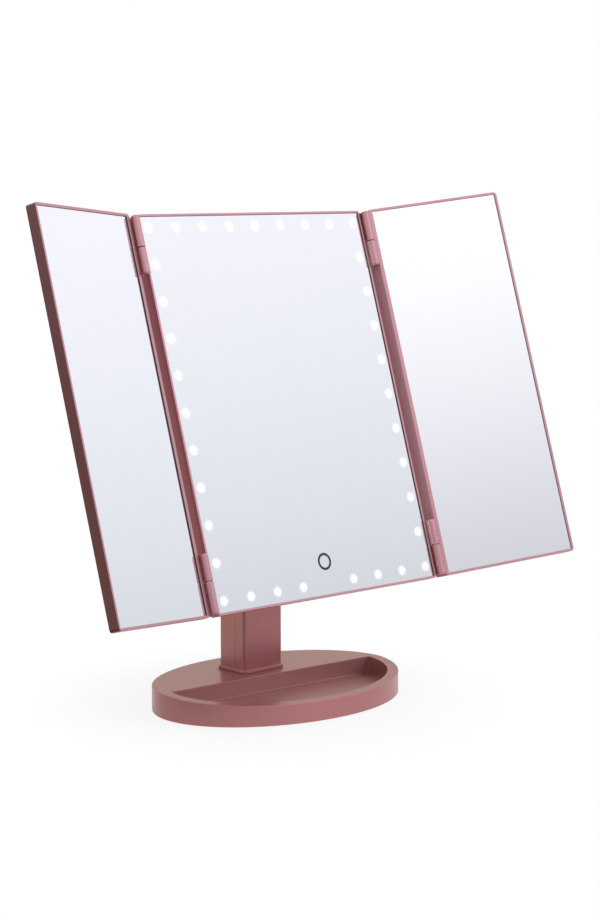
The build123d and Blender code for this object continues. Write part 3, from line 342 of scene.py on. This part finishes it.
def vary(material, socket, low, high, noise):
    """Lets a pattern move one socket of the finish between two values; returns its last node."""
    tree = material.node_tree
    shader = tree.nodes["Principled BSDF"]
    if socket.endswith("Color"):
        ramp = tree.nodes.new("ShaderNodeValToRGB")
        ramp.color_ramp.elements[0].position = 0.35
        ramp.color_ramp.elements[0].color = (*low, 1)
        ramp.color_ramp.elements[1].position = 0.65
        ramp.color_ramp.elements[1].color = (*high, 1)
        tree.links.new(noise.outputs["Fac"], ramp.inputs["Fac"])
        tree.links.new(ramp.outputs["Color"], shader.inputs[socket])
        return ramp
    span = tree.nodes.new("ShaderNodeMapRange")
    span.inputs["From Min"].default_value = 0.3
    span.inputs["From Max"].default_value = 0.7
    span.inputs["To Min"].default_value = low
    span.inputs["To Max"].default_value = high
    tree.links.new(noise.outputs["Fac"], span.inputs["Value"])
    tree.links.new(span.outputs["Result"], shader.inputs[socket])
    return span


def ripple(material, noise, height, strength=0.3):
    """Raises the surface by a pattern, by that height in millimetres."""
    tree = material.node_tree
    bump = tree.nodes.new("ShaderNodeBump")
    bump.inputs["Strength"].default_value = strength
    bump.inputs["Distance"].default_value = height * mm
    tree.links.new(noise.outputs["Fac"], bump.inputs["Height"])
    tree.links.new(bump.outputs["Normal"], tree.nodes["Principled BSDF"].inputs["Normal"])


paint_metal, paint_coat, paint_coat_roughness = 0.6, 0.18, 0.22
flake_size, orange_peel_size = 0.35, 0.9
rose_gold = finish(
    "satin_rose_gold", (0.47, 0.197, 0.2), paint_metal, 0.31, paint_coat, paint_coat_roughness
)
flake = grain(rose_gold, flake_size, detail=3)
cloud = grain(rose_gold, 28, detail=2)
flake_tone = vary(rose_gold, "Base Color", (0.44, 0.176, 0.18), (0.505, 0.218, 0.222), flake)
cloud_tone = rose_gold.node_tree.nodes.new("ShaderNodeMix")
cloud_tone.data_type = "RGBA"
cloud_tone.blend_type = "MULTIPLY"
cloud_tone.inputs["B"].default_value = (0.955, 0.94, 0.935, 1)
rose_gold.node_tree.links.new(cloud.outputs["Fac"], cloud_tone.inputs["Factor"])
rose_gold.node_tree.links.new(flake_tone.outputs["Color"], cloud_tone.inputs["A"])
rose_gold.node_tree.links.new(
    cloud_tone.outputs["Result"], rose_gold.node_tree.nodes["Principled BSDF"].inputs["Base Color"]
)
vary(rose_gold, "Roughness", 0.28, 0.35, flake)
ripple(rose_gold, grain(rose_gold, orange_peel_size, detail=2), 0.02, 0.25)


def only(piece):
    """Selects one piece and makes it the active one."""
    bpy.ops.object.select_all(action="DESELECT")
    piece.select_set(True)
    bpy.context.view_layer.objects.active = piece


def settle(piece, place=None):
    """Sets a piece in its place and puts that place into its mesh."""
    only(piece)
    if place is not None:
        piece.matrix_world = place @ piece.matrix_world
    bpy.ops.object.transform_apply(location=True, rotation=True, scale=True)


def work(piece, kind, **settings):
    """Works a piece with one modifier, applied."""
    only(piece)
    modifier = piece.modifiers.new(kind.lower(), kind)
    for name, value in settings.items():
        setattr(modifier, name, value)
    bpy.ops.object.modifier_apply(modifier=modifier.name)


def cut(piece, tool, operation="DIFFERENCE"):
    """Cuts a piece with a tool, or joins the tool to it, and puts the tool away."""
    work(piece, "BOOLEAN", operation=operation, object=tool, solver="EXACT")
    bpy.data.objects.remove(tool)


def block(low, high):
    """A block between two corners, in millimetres."""
    bpy.ops.mesh.primitive_cube_add(
        size=1,
        location=[(a + b) / 2 * mm for a, b in zip(low, high)],
        scale=[(b - a) * mm for a, b in zip(low, high)],
    )
    piece = bpy.context.object
    settle(piece)
    return piece


def oval(across, deep, low, high, sides=192):
    """An upright oval block of those half sizes between two heights, in millimetres."""
    bpy.ops.mesh.primitive_cylinder_add(
        vertices=sides,
        radius=1,
        depth=1,
        location=(0, 0, (low + high) / 2 * mm),
        scale=(across * mm, deep * mm, (high - low) * mm),
    )
    piece = bpy.context.object
    settle(piece)
    return piece


def slice_off(piece, point, way):
    """Takes off all that lies beyond a plane, and closes the cut."""
    only(piece)
    bpy.ops.object.mode_set(mode="EDIT")
    bpy.ops.mesh.select_all(action="SELECT")
    bpy.ops.mesh.bisect(
        plane_co=[value * mm for value in point],
        plane_no=way,
        clear_outer=True,
        use_fill=True,
        threshold=1e-7,
    )
    bpy.ops.object.mode_set(mode="OBJECT")


def soften(piece, width, clamped=True):
    """Rounds the sharp edges; clamped, it stops short of any edge too small for that width."""
    work(
        piece,
        "BEVEL",
        width=width * mm,
        segments=3,
        limit_method="ANGLE",
        angle_limit=radians(40),
        use_clamp_overlap=clamped,
    )


def smooth(piece):
    """Shades the curved faces smooth and keeps the flat ones flat."""
    only(piece)
    bpy.ops.object.shade_smooth_by_angle(angle=radians(35))
    work(piece, "WEIGHTED_NORMAL", keep_sharp=True, weight=100)


def finished(piece, name, body, slot, replaced, *materials):
    """Names a piece, gives it its finish and its place in the object."""
    piece.name = name
    piece.data.name = name
    for material in materials:
        piece.data.materials.append(material)
    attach(piece, body)
    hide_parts(*replaced)


base_top, base_foot, base_wall = 18.5, 0.6, 2.4
base_across, base_deep = 99.4, 70.49
rim_width, tray_back, tray_floor, tray_wall = 8.2, 4.8, 6.2, 2.0
post_y, boss_radius, boss_foot, bore_radius = 31.2, 15.05, 9.65, 9.56
slope_start, slope_radius = 1.2, 100
hollow_floor, cover_seat, casing_round = 2.0, 2.9, 0.5
casing = oval(base_across, base_deep, base_foot, base_top)

# The rim falls to the front in three flats, set round a wide arc that starts behind the tray.
for bend in (0.9, 2.0, 2.96):
    lean = radians(bend)
    slice_off(
        casing,
        (
            0,
            tray_back - slope_start - slope_radius * sin(lean),
            base_top - slope_radius * (1 - cos(lean)),
        ),
        (0, -sin(lean), cos(lean)),
    )

# The half-moon tray, the hollow under the back half and the seat of the bottom cover.
well = oval(base_across - rim_width, base_deep - rim_width, tray_floor, base_top + 2)
slice_off(well, (0, tray_back, 0), (0, 1, 0))
cut(casing, well)
hollow = oval(base_across - base_wall, base_deep - base_wall, hollow_floor, base_top - base_wall)
slice_off(hollow, (0, tray_back + tray_wall, 0), (0, -1, 0))
cut(casing, hollow)
cut(casing, oval(base_across - base_wall, base_deep - base_wall, 0, cover_seat))

# The boss that carries the post, bored for its bush.
for radius, low, high, operation in (
    (boss_radius, boss_foot, base_top - 2, "UNION"),
    (bore_radius, 5, base_top + 1, "DIFFERENCE"),
):
    turned = oval(radius, radius, low, high, sides=64)
    turned.location.y = post_y * mm
    settle(turned)
    cut(casing, turned, operation)
soften(casing, casing_round)
smooth(casing)

# The walls and the floor of the tray take a paler, rougher copy of the paint: painted light, for
# the light that falls into the tray from above.
tray_light_coat = 1
for face in casing.data.polygons:
    middle = face.center / mm
    in_oval = (middle.x / (base_across - 6)) ** 2 + (middle.y / (base_deep - 6)) ** 2 < 1
    on_rim = face.normal.z > 0.8 and middle.z > tray_floor + 1
    in_height = tray_floor - 0.5 < middle.z < base_top - 1.2
    if in_oval and in_height and not on_rim and middle.y < tray_back + 0.1:
        face.material_index = tray_light_coat
# Painted light: a paler copy of the rose gold for the tray.
tray_painted_light = finish(
    "satin_rose_gold_painted_light_in_tray",
    (0.45, 0.226, 0.218),
    paint_metal,
    0.375,
    paint_coat,
    paint_coat_roughness,
)
tray_light_flake = grain(tray_painted_light, flake_size, detail=3)
vary(tray_painted_light, "Base Color", (0.42, 0.21, 0.203), (0.48, 0.242, 0.233), tray_light_flake)
vary(tray_painted_light, "Roughness", 0.33, 0.42, tray_light_flake)
ripple(tray_painted_light, grain(tray_painted_light, orange_peel_size, detail=2), 0.02, 0.25)
finished(casing, "base_casing", "base", "rose_gold", ["base_shell"], rose_gold, tray_painted_light)


# ---------------------------------------------------------------- bottom of the base
# Flat cover screwed up into the casing, with a thin rubber pad stuck in its recess and four
# plated screws. A steel plate lies on it inside the casing, so that the stand doesn't tip.
def dress(name, material):
    """Gives a part of the frame its finish."""
    nodes[name].data.materials.clear()
    nodes[name].data.materials.append(material)


under_cover = finish("moulded_underside", (0.40, 0.19, 0.18), 0.35, 0.5)
moulded_tone = grain(under_cover, 1.2)
vary(under_cover, "Base Color", (0.36, 0.165, 0.16), (0.43, 0.205, 0.195), moulded_tone)
ripple(under_cover, grain(under_cover, 0.5), 0.03)
dress("base_plate", under_cover)

rubber = finish("grip_rubber", (0.03, 0.03, 0.03), 0, 0.8)
vary(rubber, "Base Color", (0.022, 0.022, 0.022), (0.045, 0.044, 0.043), grain(rubber, 0.8))
ripple(rubber, grain(rubber, 0.6), 0.08, 0.6)
dress("base_pad", rubber)

zinc = finish("plated_steel", (0.62, 0.62, 0.63), 1.0, 0.3)
vary(zinc, "Roughness", 0.22, 0.38, grain(zinc, 0.5, (1, 1, 6)))
vary(zinc, "Base Color", (0.56, 0.57, 0.58), (0.66, 0.66, 0.66), grain(zinc, 1.5))
dress("base_screws", zinc)

bare_plate = finish("bare_steel_plate", (0.3, 0.3, 0.31), 0.9, 0.5)
mill_scale = grain(bare_plate, 6, detail=4)
vary(bare_plate, "Base Color", (0.24, 0.235, 0.23), (0.34, 0.34, 0.35), mill_scale)
vary(bare_plate, "Roughness", 0.4, 0.6, grain(bare_plate, 2))
dress("base_weight", bare_plate)

# ---------------------------------------------------------------- swivel
# Nylon bush pressed into the casing, with a friction washer, a steel stop plate and one screw
# under it, which hold the spigot of the post so that it turns but can't lift out.
nylon = finish("natural_nylon", (0.82, 0.80, 0.74), 0, 0.45)
vary(nylon, "Base Color", (0.78, 0.76, 0.69), (0.86, 0.84, 0.79), grain(nylon, 3))
for name in ("swivel_bush", "swivel_washer", "tilt_washers"):
    dress(name, nylon)
for name in ("swivel_plate", "swivel_screw", "tilt_bolt", "tilt_nut"):
    dress(name, zinc)

# ---------------------------------------------------------------- post
# Two moulded half shells that meet in a fine seam down the sides, screwed together from behind
# and stepped into a collar at the foot. Two round caps close the ends of the tilt shaft.
for name in ("post_foot", "post_front_shell", "post_rear_shell", "tilt_caps", "tilt_bracket"):
    dress(name, rose_gold)
dress("post_screws", zinc)
dress("bracket_screws", zinc)

# ---------------------------------------------------------------- centre frame
# Front frame of the lit panel: a rounded lip, a ledge on which the glass is stuck and half of the
# barrels of both hinges, moulded in one piece. The walls of the glass seat are painted near-black,
# a painted shade under the lip.
head_turn, head_rise, pivot_height = 3.3, 72.5, 226.6
panel_forward, panel_over_pivot = 21.9, 41.3
upright = Matrix.Translation((0, post_y * mm, 0)) @ Matrix.Rotation(radians(head_turn), 4, "Z")
pivot = Matrix.Translation((0, 0, pivot_height * mm)) @ Matrix.Rotation(radians(head_rise), 4, "X")
panel = upright @ pivot @ Matrix.Translation((0, -panel_forward * mm, panel_over_pivot * mm))
panel_width, panel_height, panel_corner = 210.0, 280.0, 2.5
frame_depth, frame_round = 9.0, 0.4
seat_across, seat_up, seat_depth = 103.4, 138.4, 3.6
opening_across, opening_up = 100.2, 135.2
pocket_across, pocket_up, ledge_back = 102.8, 137.8, 5.2
hinge_gap, hinge_proud = 3.8, 1.8
barrel_radius, barrel_nose = 3.1, 1.4
web_front, web_back, web_short, web_sunk = 2.2, 6.0, 0.5, 0.5
fixed_inner, fixed_outer = 116.2, 138.6

# A frame is rose gold all over but for these coats, numbered in the order it is given them.
seat_shade_coat, lip_highlight_coat, hinge_gap_light_and_shade_coat, outer_shade_coat = 1, 2, 3, 4

# Painted shade: the walls of the glass seat are near-black, for the shade under the lip and its
# reflection in the glass.
seat_wall_painted_shade = finish("dark_seat_walls_painted_shade", (0.05, 0.047, 0.05), 0, 0.18)
vary(seat_wall_painted_shade, "Base Color", (0.035, 0.033, 0.036), (0.07, 0.064, 0.068), grain(seat_wall_painted_shade, 2.5))

# Painted highlight: the lip takes a lighter copy of the paint, for the light its rounded front
# catches.
lip_painted_highlight = finish("rose_gold_lip_painted_highlight", (0.57, 0.295, 0.32), 0.7, 0.31)
lip_highlight_flake = grain(lip_painted_highlight, flake_size, detail=3)
vary(lip_painted_highlight, "Base Color", (0.53, 0.27, 0.295), (0.61, 0.32, 0.345), lip_highlight_flake)
vary(lip_painted_highlight, "Roughness", 0.26, 0.36, grain(lip_painted_highlight, 0.5))

# Painted shade: the frame's sides in the hinge gaps take a darker copy of the paint, for the shade
# deep in the gaps.
rim_side_painted_shade = finish("satin_rose_gold_rim_side_painted_shade", (0.35, 0.122, 0.168), paint_metal, 0.36)
rim_side_shade_flake = grain(rim_side_painted_shade, flake_size, detail=3)
vary(rim_side_painted_shade, "Base Color", (0.33, 0.115, 0.158), (0.37, 0.129, 0.178), rim_side_shade_flake)
vary(rim_side_painted_shade, "Roughness", 0.32, 0.40, grain(rim_side_painted_shade, 0.5))


def pick_edges(piece, wanted):
    """Opens a piece for edge work, with only the edges selected whose two ends suit."""
    only(piece)
    bpy.ops.object.mode_set(mode="EDIT")
    bpy.ops.mesh.select_mode(type="EDGE")
    bpy.ops.mesh.select_all(action="DESELECT")
    bpy.ops.object.mode_set(mode="OBJECT")
    for edge in piece.data.edges:
        edge.select = wanted(*(piece.data.vertices[index].co / mm for index in edge.vertices))
    bpy.ops.object.mode_set(mode="EDIT")


def round_corners(piece, corner, depth):
    """Rounds the corners of a plate: its four edges that run from front to back."""
    pick_edges(piece, lambda a, b: abs(a.y - b.y) < 0.001 and abs(a.z - b.z) > depth / 2)
    bpy.ops.mesh.bevel(offset=corner * mm, segments=8, affect="EDGES")
    bpy.ops.object.mode_set(mode="OBJECT")


def barrel(x, z, joint, free, wall):
    """One knuckle of a hinge from its joint to its rounded free end, with the web to its wall."""
    low, high = sorted((joint, free))
    bpy.ops.mesh.primitive_cylinder_add(
        vertices=48,
        radius=barrel_radius * mm,
        depth=(high - low) * mm,
        location=(x * mm, (low + high) / 2 * mm, z * mm),
        rotation=(radians(90), 0, 0),
    )
    knuckle = bpy.context.object
    settle(knuckle)
    pick_edges(knuckle, lambda a, b: abs(a.y - free) < 0.001 and abs(b.y - free) < 0.001)
    bpy.ops.mesh.bevel(offset=barrel_nose * mm, segments=5, affect="EDGES")
    bpy.ops.object.mode_set(mode="OBJECT")
    soften(knuckle, 0.35)
    near, far = sorted((x, wall))
    web = block((near, low + web_short, z - web_back), (far, high - web_short, z - web_front))
    cut(knuckle, web, "UNION")
    return knuckle


def shade_seat_light_lip(piece, across, up, depth, shift=0.0, front=0.0):
    """Paints the walls of a glass seat with painted shade and the front of its lip with a painted
    highlight.
    """
    for face in piece.data.polygons:
        middle = face.center / mm
        on_side = abs(abs(middle.x - shift) - across) < 0.02 and abs(middle.y) < up
        on_end = abs(middle.y + up) < 0.02 and abs(middle.x - shift) < across
        in_seat = abs(face.normal.z) < 0.3 and middle.z > front - depth - 0.1
        if in_seat and (on_side or on_end):
            face.material_index = seat_shade_coat
        if face.normal.z > 0.3 and middle.z > front - frame_round:
            face.material_index = lip_highlight_coat


# A plate with three openings: the seat of the glass, the window behind it and the pocket at the
# back for the cover. The knuckles are joined to its sides.
rim = block(
    (-panel_width / 2, -panel_height / 2, -frame_depth), (panel_width / 2, panel_height / 2, 0)
)
round_corners(rim, panel_corner, frame_depth)
for across, up, low, high in (
    (seat_across, seat_up, -seat_depth, 1),
    (opening_across, opening_up, -frame_depth - 1, 1),
    (pocket_across, pocket_up, -frame_depth - 1, -ledge_back),
):
    cut(rim, block((-across, -up, low), (across, up, high)))
soften(rim, frame_round)
for side in (-1, 1):
    for end in (-1, 1):
        knuckle = barrel(
            side * (panel_width / 2 + hinge_gap),
            hinge_proud,
            end * fixed_inner,
            end * fixed_outer,
            side * (panel_width / 2 - web_sunk),
        )
        cut(rim, knuckle, "UNION")
smooth(rim)

# The lip carries a painted highlight and the sides in the hinge gaps a painted shade.
for material in (rose_gold, seat_wall_painted_shade, lip_painted_highlight, rim_side_painted_shade):
    rim.data.materials.append(material)
shade_seat_light_lip(rim, seat_across, seat_up, seat_depth)
for face in rim.data.polygons:
    on_side = panel_width / 2 - 0.5 < abs(face.center.x) / mm < panel_width / 2 + 0.05
    if on_side and abs(face.normal.x) > 0.6 and face.center.z < -0.3 * mm:
        face.material_index = hinge_gap_light_and_shade_coat
settle(rim, panel)
finished(rim, "centre_rim", "head", "rose_gold", ["centre_frame"])

# ---------------------------------------------------------------- centre glass
# Sheet of silvered glass, stuck on the ledge with foam tape. The silvering is left off in round
# windows along the border, and a faint glow spreads from each into the glass round it.
silver = finish("silvered_glass", (0.93, 0.935, 0.95), 1.0, 0.0)
vary(silver, "Base Color", (0.926, 0.932, 0.948), (0.934, 0.938, 0.952), grain(silver, 40))
for name in ("centre_mirror", "left_wing_mirror", "right_wing_mirror"):
    dress(name, silver)

foam = finish("black_foam_tape", (0.03, 0.03, 0.03), 0, 0.9)
vary(foam, "Base Color", (0.02, 0.02, 0.02), (0.06, 0.06, 0.06), grain(foam, 0.6))
ripple(foam, grain(foam, 0.5), 0.1, 0.7)
for name in ("centre_tape", "left_wing_tape", "right_wing_tape"):
    dress(name, foam)

# ---------------------------------------------------------------- lights
# Frosted round windows in the glass, lit from behind by the board. The light spreads a little way
# into the silvered glass round each window, so its edge is soft.
light_columns, light_rows = 9, 11
light_across, light_up = panel_width / 2 - 8.28, panel_height / 2 - 9.55
glass_sunk, window_lift = 1.1, 0.02
window_depth, window_sides, lit_radius = 0.1, 32, 2.6
window_glow = (
    (5.2, 0.0),
    (4.7, 0.014),
    (4.2, 0.034),
    (3.8, 0.062),
    (3.45, 0.11),
    (3.1, 0.19),
    (2.75, 0.4),
    (2.2, 1.0),
    (1.2, 1.0),
)
frosted = finish("lit_window", (1.0, 0.99, 0.97), 0, 0.4)
frosted.node_tree.nodes["Principled BSDF"].inputs["Emission Strength"].default_value = 1.0
vary(frosted, "Emission Color", (0.97, 0.975, 0.98), (1.0, 1.0, 1.0), grain(frosted, 0.7))

halo = finish("glow_in_silvered_glass", (0.93, 0.935, 0.95), 1.0, 0.0)
vary(halo, "Base Color", (0.926, 0.932, 0.948), (0.934, 0.938, 0.952), grain(halo, 40))
halo_shader = halo.node_tree.nodes["Principled BSDF"]
halo_shader.inputs["Emission Strength"].default_value = 1.0
glow = halo.node_tree.nodes.new("ShaderNodeAttribute")
glow.attribute_name = "glow"
glow_tone = halo.node_tree.nodes.new("ShaderNodeValToRGB")
glow_tone.color_ramp.elements[0].color = (0, 0, 0, 1)
glow_tone.color_ramp.elements[1].color = (0.98, 1.0, 0.99, 1)
halo.node_tree.links.new(glow.outputs["Fac"], glow_tone.inputs["Fac"])
halo.node_tree.links.new(glow_tone.outputs["Color"], halo_shader.inputs["Emission Color"])

# One window is made, a thin disc in rings that glow more towards its middle.
bpy.ops.mesh.primitive_cylinder_add(
    vertices=window_sides, radius=window_glow[0][0] * mm, depth=window_depth * mm
)
window = bpy.context.object
settle(window)
bpy.ops.object.mode_set(mode="EDIT")
bpy.ops.mesh.select_mode(type="FACE")
bpy.ops.mesh.select_all(action="DESELECT")
bpy.ops.object.mode_set(mode="OBJECT")
for face in window.data.polygons:
    face.select = face.normal.z > 0.5
bpy.ops.object.mode_set(mode="EDIT")
for (radius, _), (next_radius, _) in zip(window_glow, window_glow[1:]):
    bpy.ops.mesh.inset(thickness=(radius - next_radius) * cos(radians(180 / window_sides)) * mm)
bpy.ops.object.mode_set(mode="OBJECT")
strength = window.data.attributes.new("glow", "FLOAT", "POINT")
for vertex in window.data.vertices:
    ring = min(window_glow, key=lambda pair: abs(pair[0] * mm - vertex.co.xy.length))
    strength.data[vertex.index].value = ring[1] if vertex.co.z > 0 else 0.0
window.data.materials.append(halo)
window.data.materials.append(frosted)
frosted_coat = 1
for face in window.data.polygons:
    reach = max(window.data.vertices[index].co.xy.length for index in face.vertices)
    if reach < lit_radius * mm:
        face.material_index = frosted_coat

# It is copied to every place along the border but the lowest middle one, under the touch ring.
places = [(2 * column / (light_columns - 1) - 1, 1) for column in range(light_columns)]
places += [(across, -1) for across, _ in places if across != 0]
for row in range(1, light_rows - 1):
    places += [(side, 1 - 2 * row / (light_rows - 1)) for side in (-1, 1)]
windows = []
for across, up in places:
    only(window)
    bpy.ops.object.duplicate()
    copy = bpy.context.object
    copy.location = (
        across * light_across * mm,
        up * light_up * mm,
        (window_lift - window_depth / 2 - glass_sunk) * mm,
    )
    windows.append(copy)
bpy.data.objects.remove(window)
only(windows[0])
for copy in windows:
    copy.select_set(True)
bpy.ops.object.join()
settle(windows[0], panel)
finished(windows[0], "glowing_windows", "head", "light_window", ["light_windows"])

# ---------------------------------------------------------------- touch ring
# Ring printed behind the glass in dark blue ink. A sensor disc lies behind it.
ink = finish("dark_blue_print", (0.012, 0.014, 0.045), 0, 0.25)
vary(ink, "Base Color", (0.008, 0.010, 0.035), (0.02, 0.022, 0.065), grain(ink, 1.5))
dress("touch_ring", ink)

# ---------------------------------------------------------------- boards and leads
# The light board with its diodes, the control board and the sensor disc, hidden in the head.
board = finish("solder_mask", (0.03, 0.15, 0.06), 0, 0.35)
vary(board, "Base Color", (0.02, 0.12, 0.045), (0.045, 0.2, 0.09), grain(board, 2.5))
for name in ("led_board", "control_board", "touch_sensor"):
    dress(name, board)
diode = finish("diode_package", (0.9, 0.82, 0.5), 0, 0.3)
vary(diode, "Base Color", (0.85, 0.74, 0.38), (0.95, 0.9, 0.66), grain(diode, 1))
dress("leds", diode)
sleeve = finish("wire_sleeve", (0.4, 0.03, 0.03), 0, 0.45)
vary(sleeve, "Base Color", (0.32, 0.02, 0.02), (0.45, 0.045, 0.04), grain(sleeve, 1.5))
dress("head_wiring", sleeve)

# ---------------------------------------------------------------- back of the head
# Shallow back shell screwed to the frame, with the raised battery bay, its ridged door and the
# power inlet, sprayed like the rest.
for name in ("rear_cover", "battery_door"):
    dress(name, rose_gold)
for name in ("cover_screws", "power_inlet", "battery_springs", "battery_plates"):
    dress(name, zinc)
cell_wrap = finish("cell_wrapper", (0.03, 0.035, 0.04), 0.2, 0.35)
vary(cell_wrap, "Base Color", (0.02, 0.024, 0.03), (0.05, 0.055, 0.065), grain(cell_wrap, 4))
dress("battery_cells", cell_wrap)

# ---------------------------------------------------------------- wings
# Two plain mirrors in shallow moulded frames like the centre one's, with the other half of the
# hinge barrels. The back of each runs on a little under its hinge, and a flush cover closes it.
wing_width, wing_depth, wing_heel = 104.6, 8.0, 5.9
wing_lip, wing_hinge_lip = 1.8, 2.9
wing_seat_up, wing_seat_depth = 138.2, 3.7
wing_pocket_edge, wing_pocket_up, wing_pocket_reach, wing_ledge_back = 2, 138, 12, 5.3
moving_inner, moving_outer = 97.0, 115.8
wing_end = hinge_gap + wing_width

# Painted light: the slanted wall of each wing at the hinge takes a much lighter copy of the paint.
hinge_wall_painted_light = finish("rose_gold_hinge_wall_painted_light", (0.74, 0.46, 0.50), 0.35, 0.4)
hinge_wall_light_flake = grain(hinge_wall_painted_light, flake_size, detail=3)
vary(hinge_wall_painted_light, "Base Color", (0.70, 0.43, 0.47), (0.78, 0.49, 0.53), hinge_wall_light_flake)

# Painted shade: the outer sides of the wings take a darker copy of the paint, for the shade on the
# sides facing away from the lamps.
outer_side_painted_shade = finish("satin_rose_gold_outer_side_painted_shade", (0.22, 0.088, 0.09), paint_metal, 0.36, 0.12)
outer_shade_flake = grain(outer_side_painted_shade, flake_size, detail=3)
vary(outer_side_painted_shade, "Base Color", (0.205, 0.082, 0.084), (0.235, 0.094, 0.096), outer_shade_flake)
vary(outer_side_painted_shade, "Roughness", 0.32, 0.40, grain(outer_side_painted_shade, 0.5))

for name, side, fold in (("left", -1, 17.8), ("right", 1, -24.9)):
    hinge_line = (side * (panel_width / 2 + hinge_gap) * mm, 0, hinge_proud * mm)
    hinge = panel @ Matrix.Translation(hinge_line) @ Matrix.Rotation(radians(fold), 4, "Y")
    near, far = sorted((side * hinge_gap, side * wing_end))
    wing = block(
        (near, -panel_height / 2, -hinge_proud - wing_depth), (far, panel_height / 2, -hinge_proud)
    )

    # Its back edge at the hinge slants out into a heel, which closes the gap.
    for vertex in wing.data.vertices:
        if abs(vertex.co.x) < 10 * mm and vertex.co.z < -5 * mm:
            vertex.co.x -= side * wing_heel * mm
    round_corners(wing, panel_corner, wing_depth)

    # The seat of the glass, and the pocket at the back for the cover.
    inner, outer = hinge_gap + wing_hinge_lip, wing_end - wing_lip
    near, far = sorted((side * inner, side * outer))
    cut(wing, block((near, -wing_seat_up, -hinge_proud - wing_seat_depth), (far, wing_seat_up, 1)))
    inner_edge, outer_edge = hinge_gap + wing_pocket_edge, wing_end - wing_pocket_edge
    near, far = sorted((side * inner_edge, side * outer_edge))
    ledge = -hinge_proud - wing_ledge_back
    cut(wing, block((near, -wing_pocket_up, -wing_pocket_reach), (far, wing_pocket_up, ledge)))
    soften(wing, frame_round, clamped=False)
    for end in (-1, 1):
        joint, free = end * moving_outer, end * moving_inner
        cut(wing, barrel(0, 0, joint, free, side * (hinge_gap + web_sunk)), "UNION")
    smooth(wing)

    # The lip carries a painted highlight, the slanted wall at the hinge painted light and the
    # outer side painted shade.
    for material in (rose_gold, seat_wall_painted_shade, lip_painted_highlight, hinge_wall_painted_light, outer_side_painted_shade):
        wing.data.materials.append(material)
    half, middle_line = (outer - inner) / 2, side * (outer + inner) / 2
    shade_seat_light_lip(wing, half, wing_seat_up, wing_seat_depth, middle_line, -hinge_proud)
    for face in wing.data.polygons:
        outward, reach = face.normal.x * side, face.center.x * side / mm
        height = abs(face.center.y) / mm
        if outward < -0.75 and reach < hinge_gap and height < panel_height / 2 - 1:
            face.material_index = hinge_gap_light_and_shade_coat
        if outward > 0.6 and reach > wing_end - 0.6:
            face.material_index = outer_shade_coat
    settle(wing, hinge)
    finished(wing, name + "_wing_rim", name + "_wing", "rose_gold", [name + "_wing_frame"])
    dress(name + "_wing_back", rose_gold)
    dress(name + "_hinge_pins", zinc)
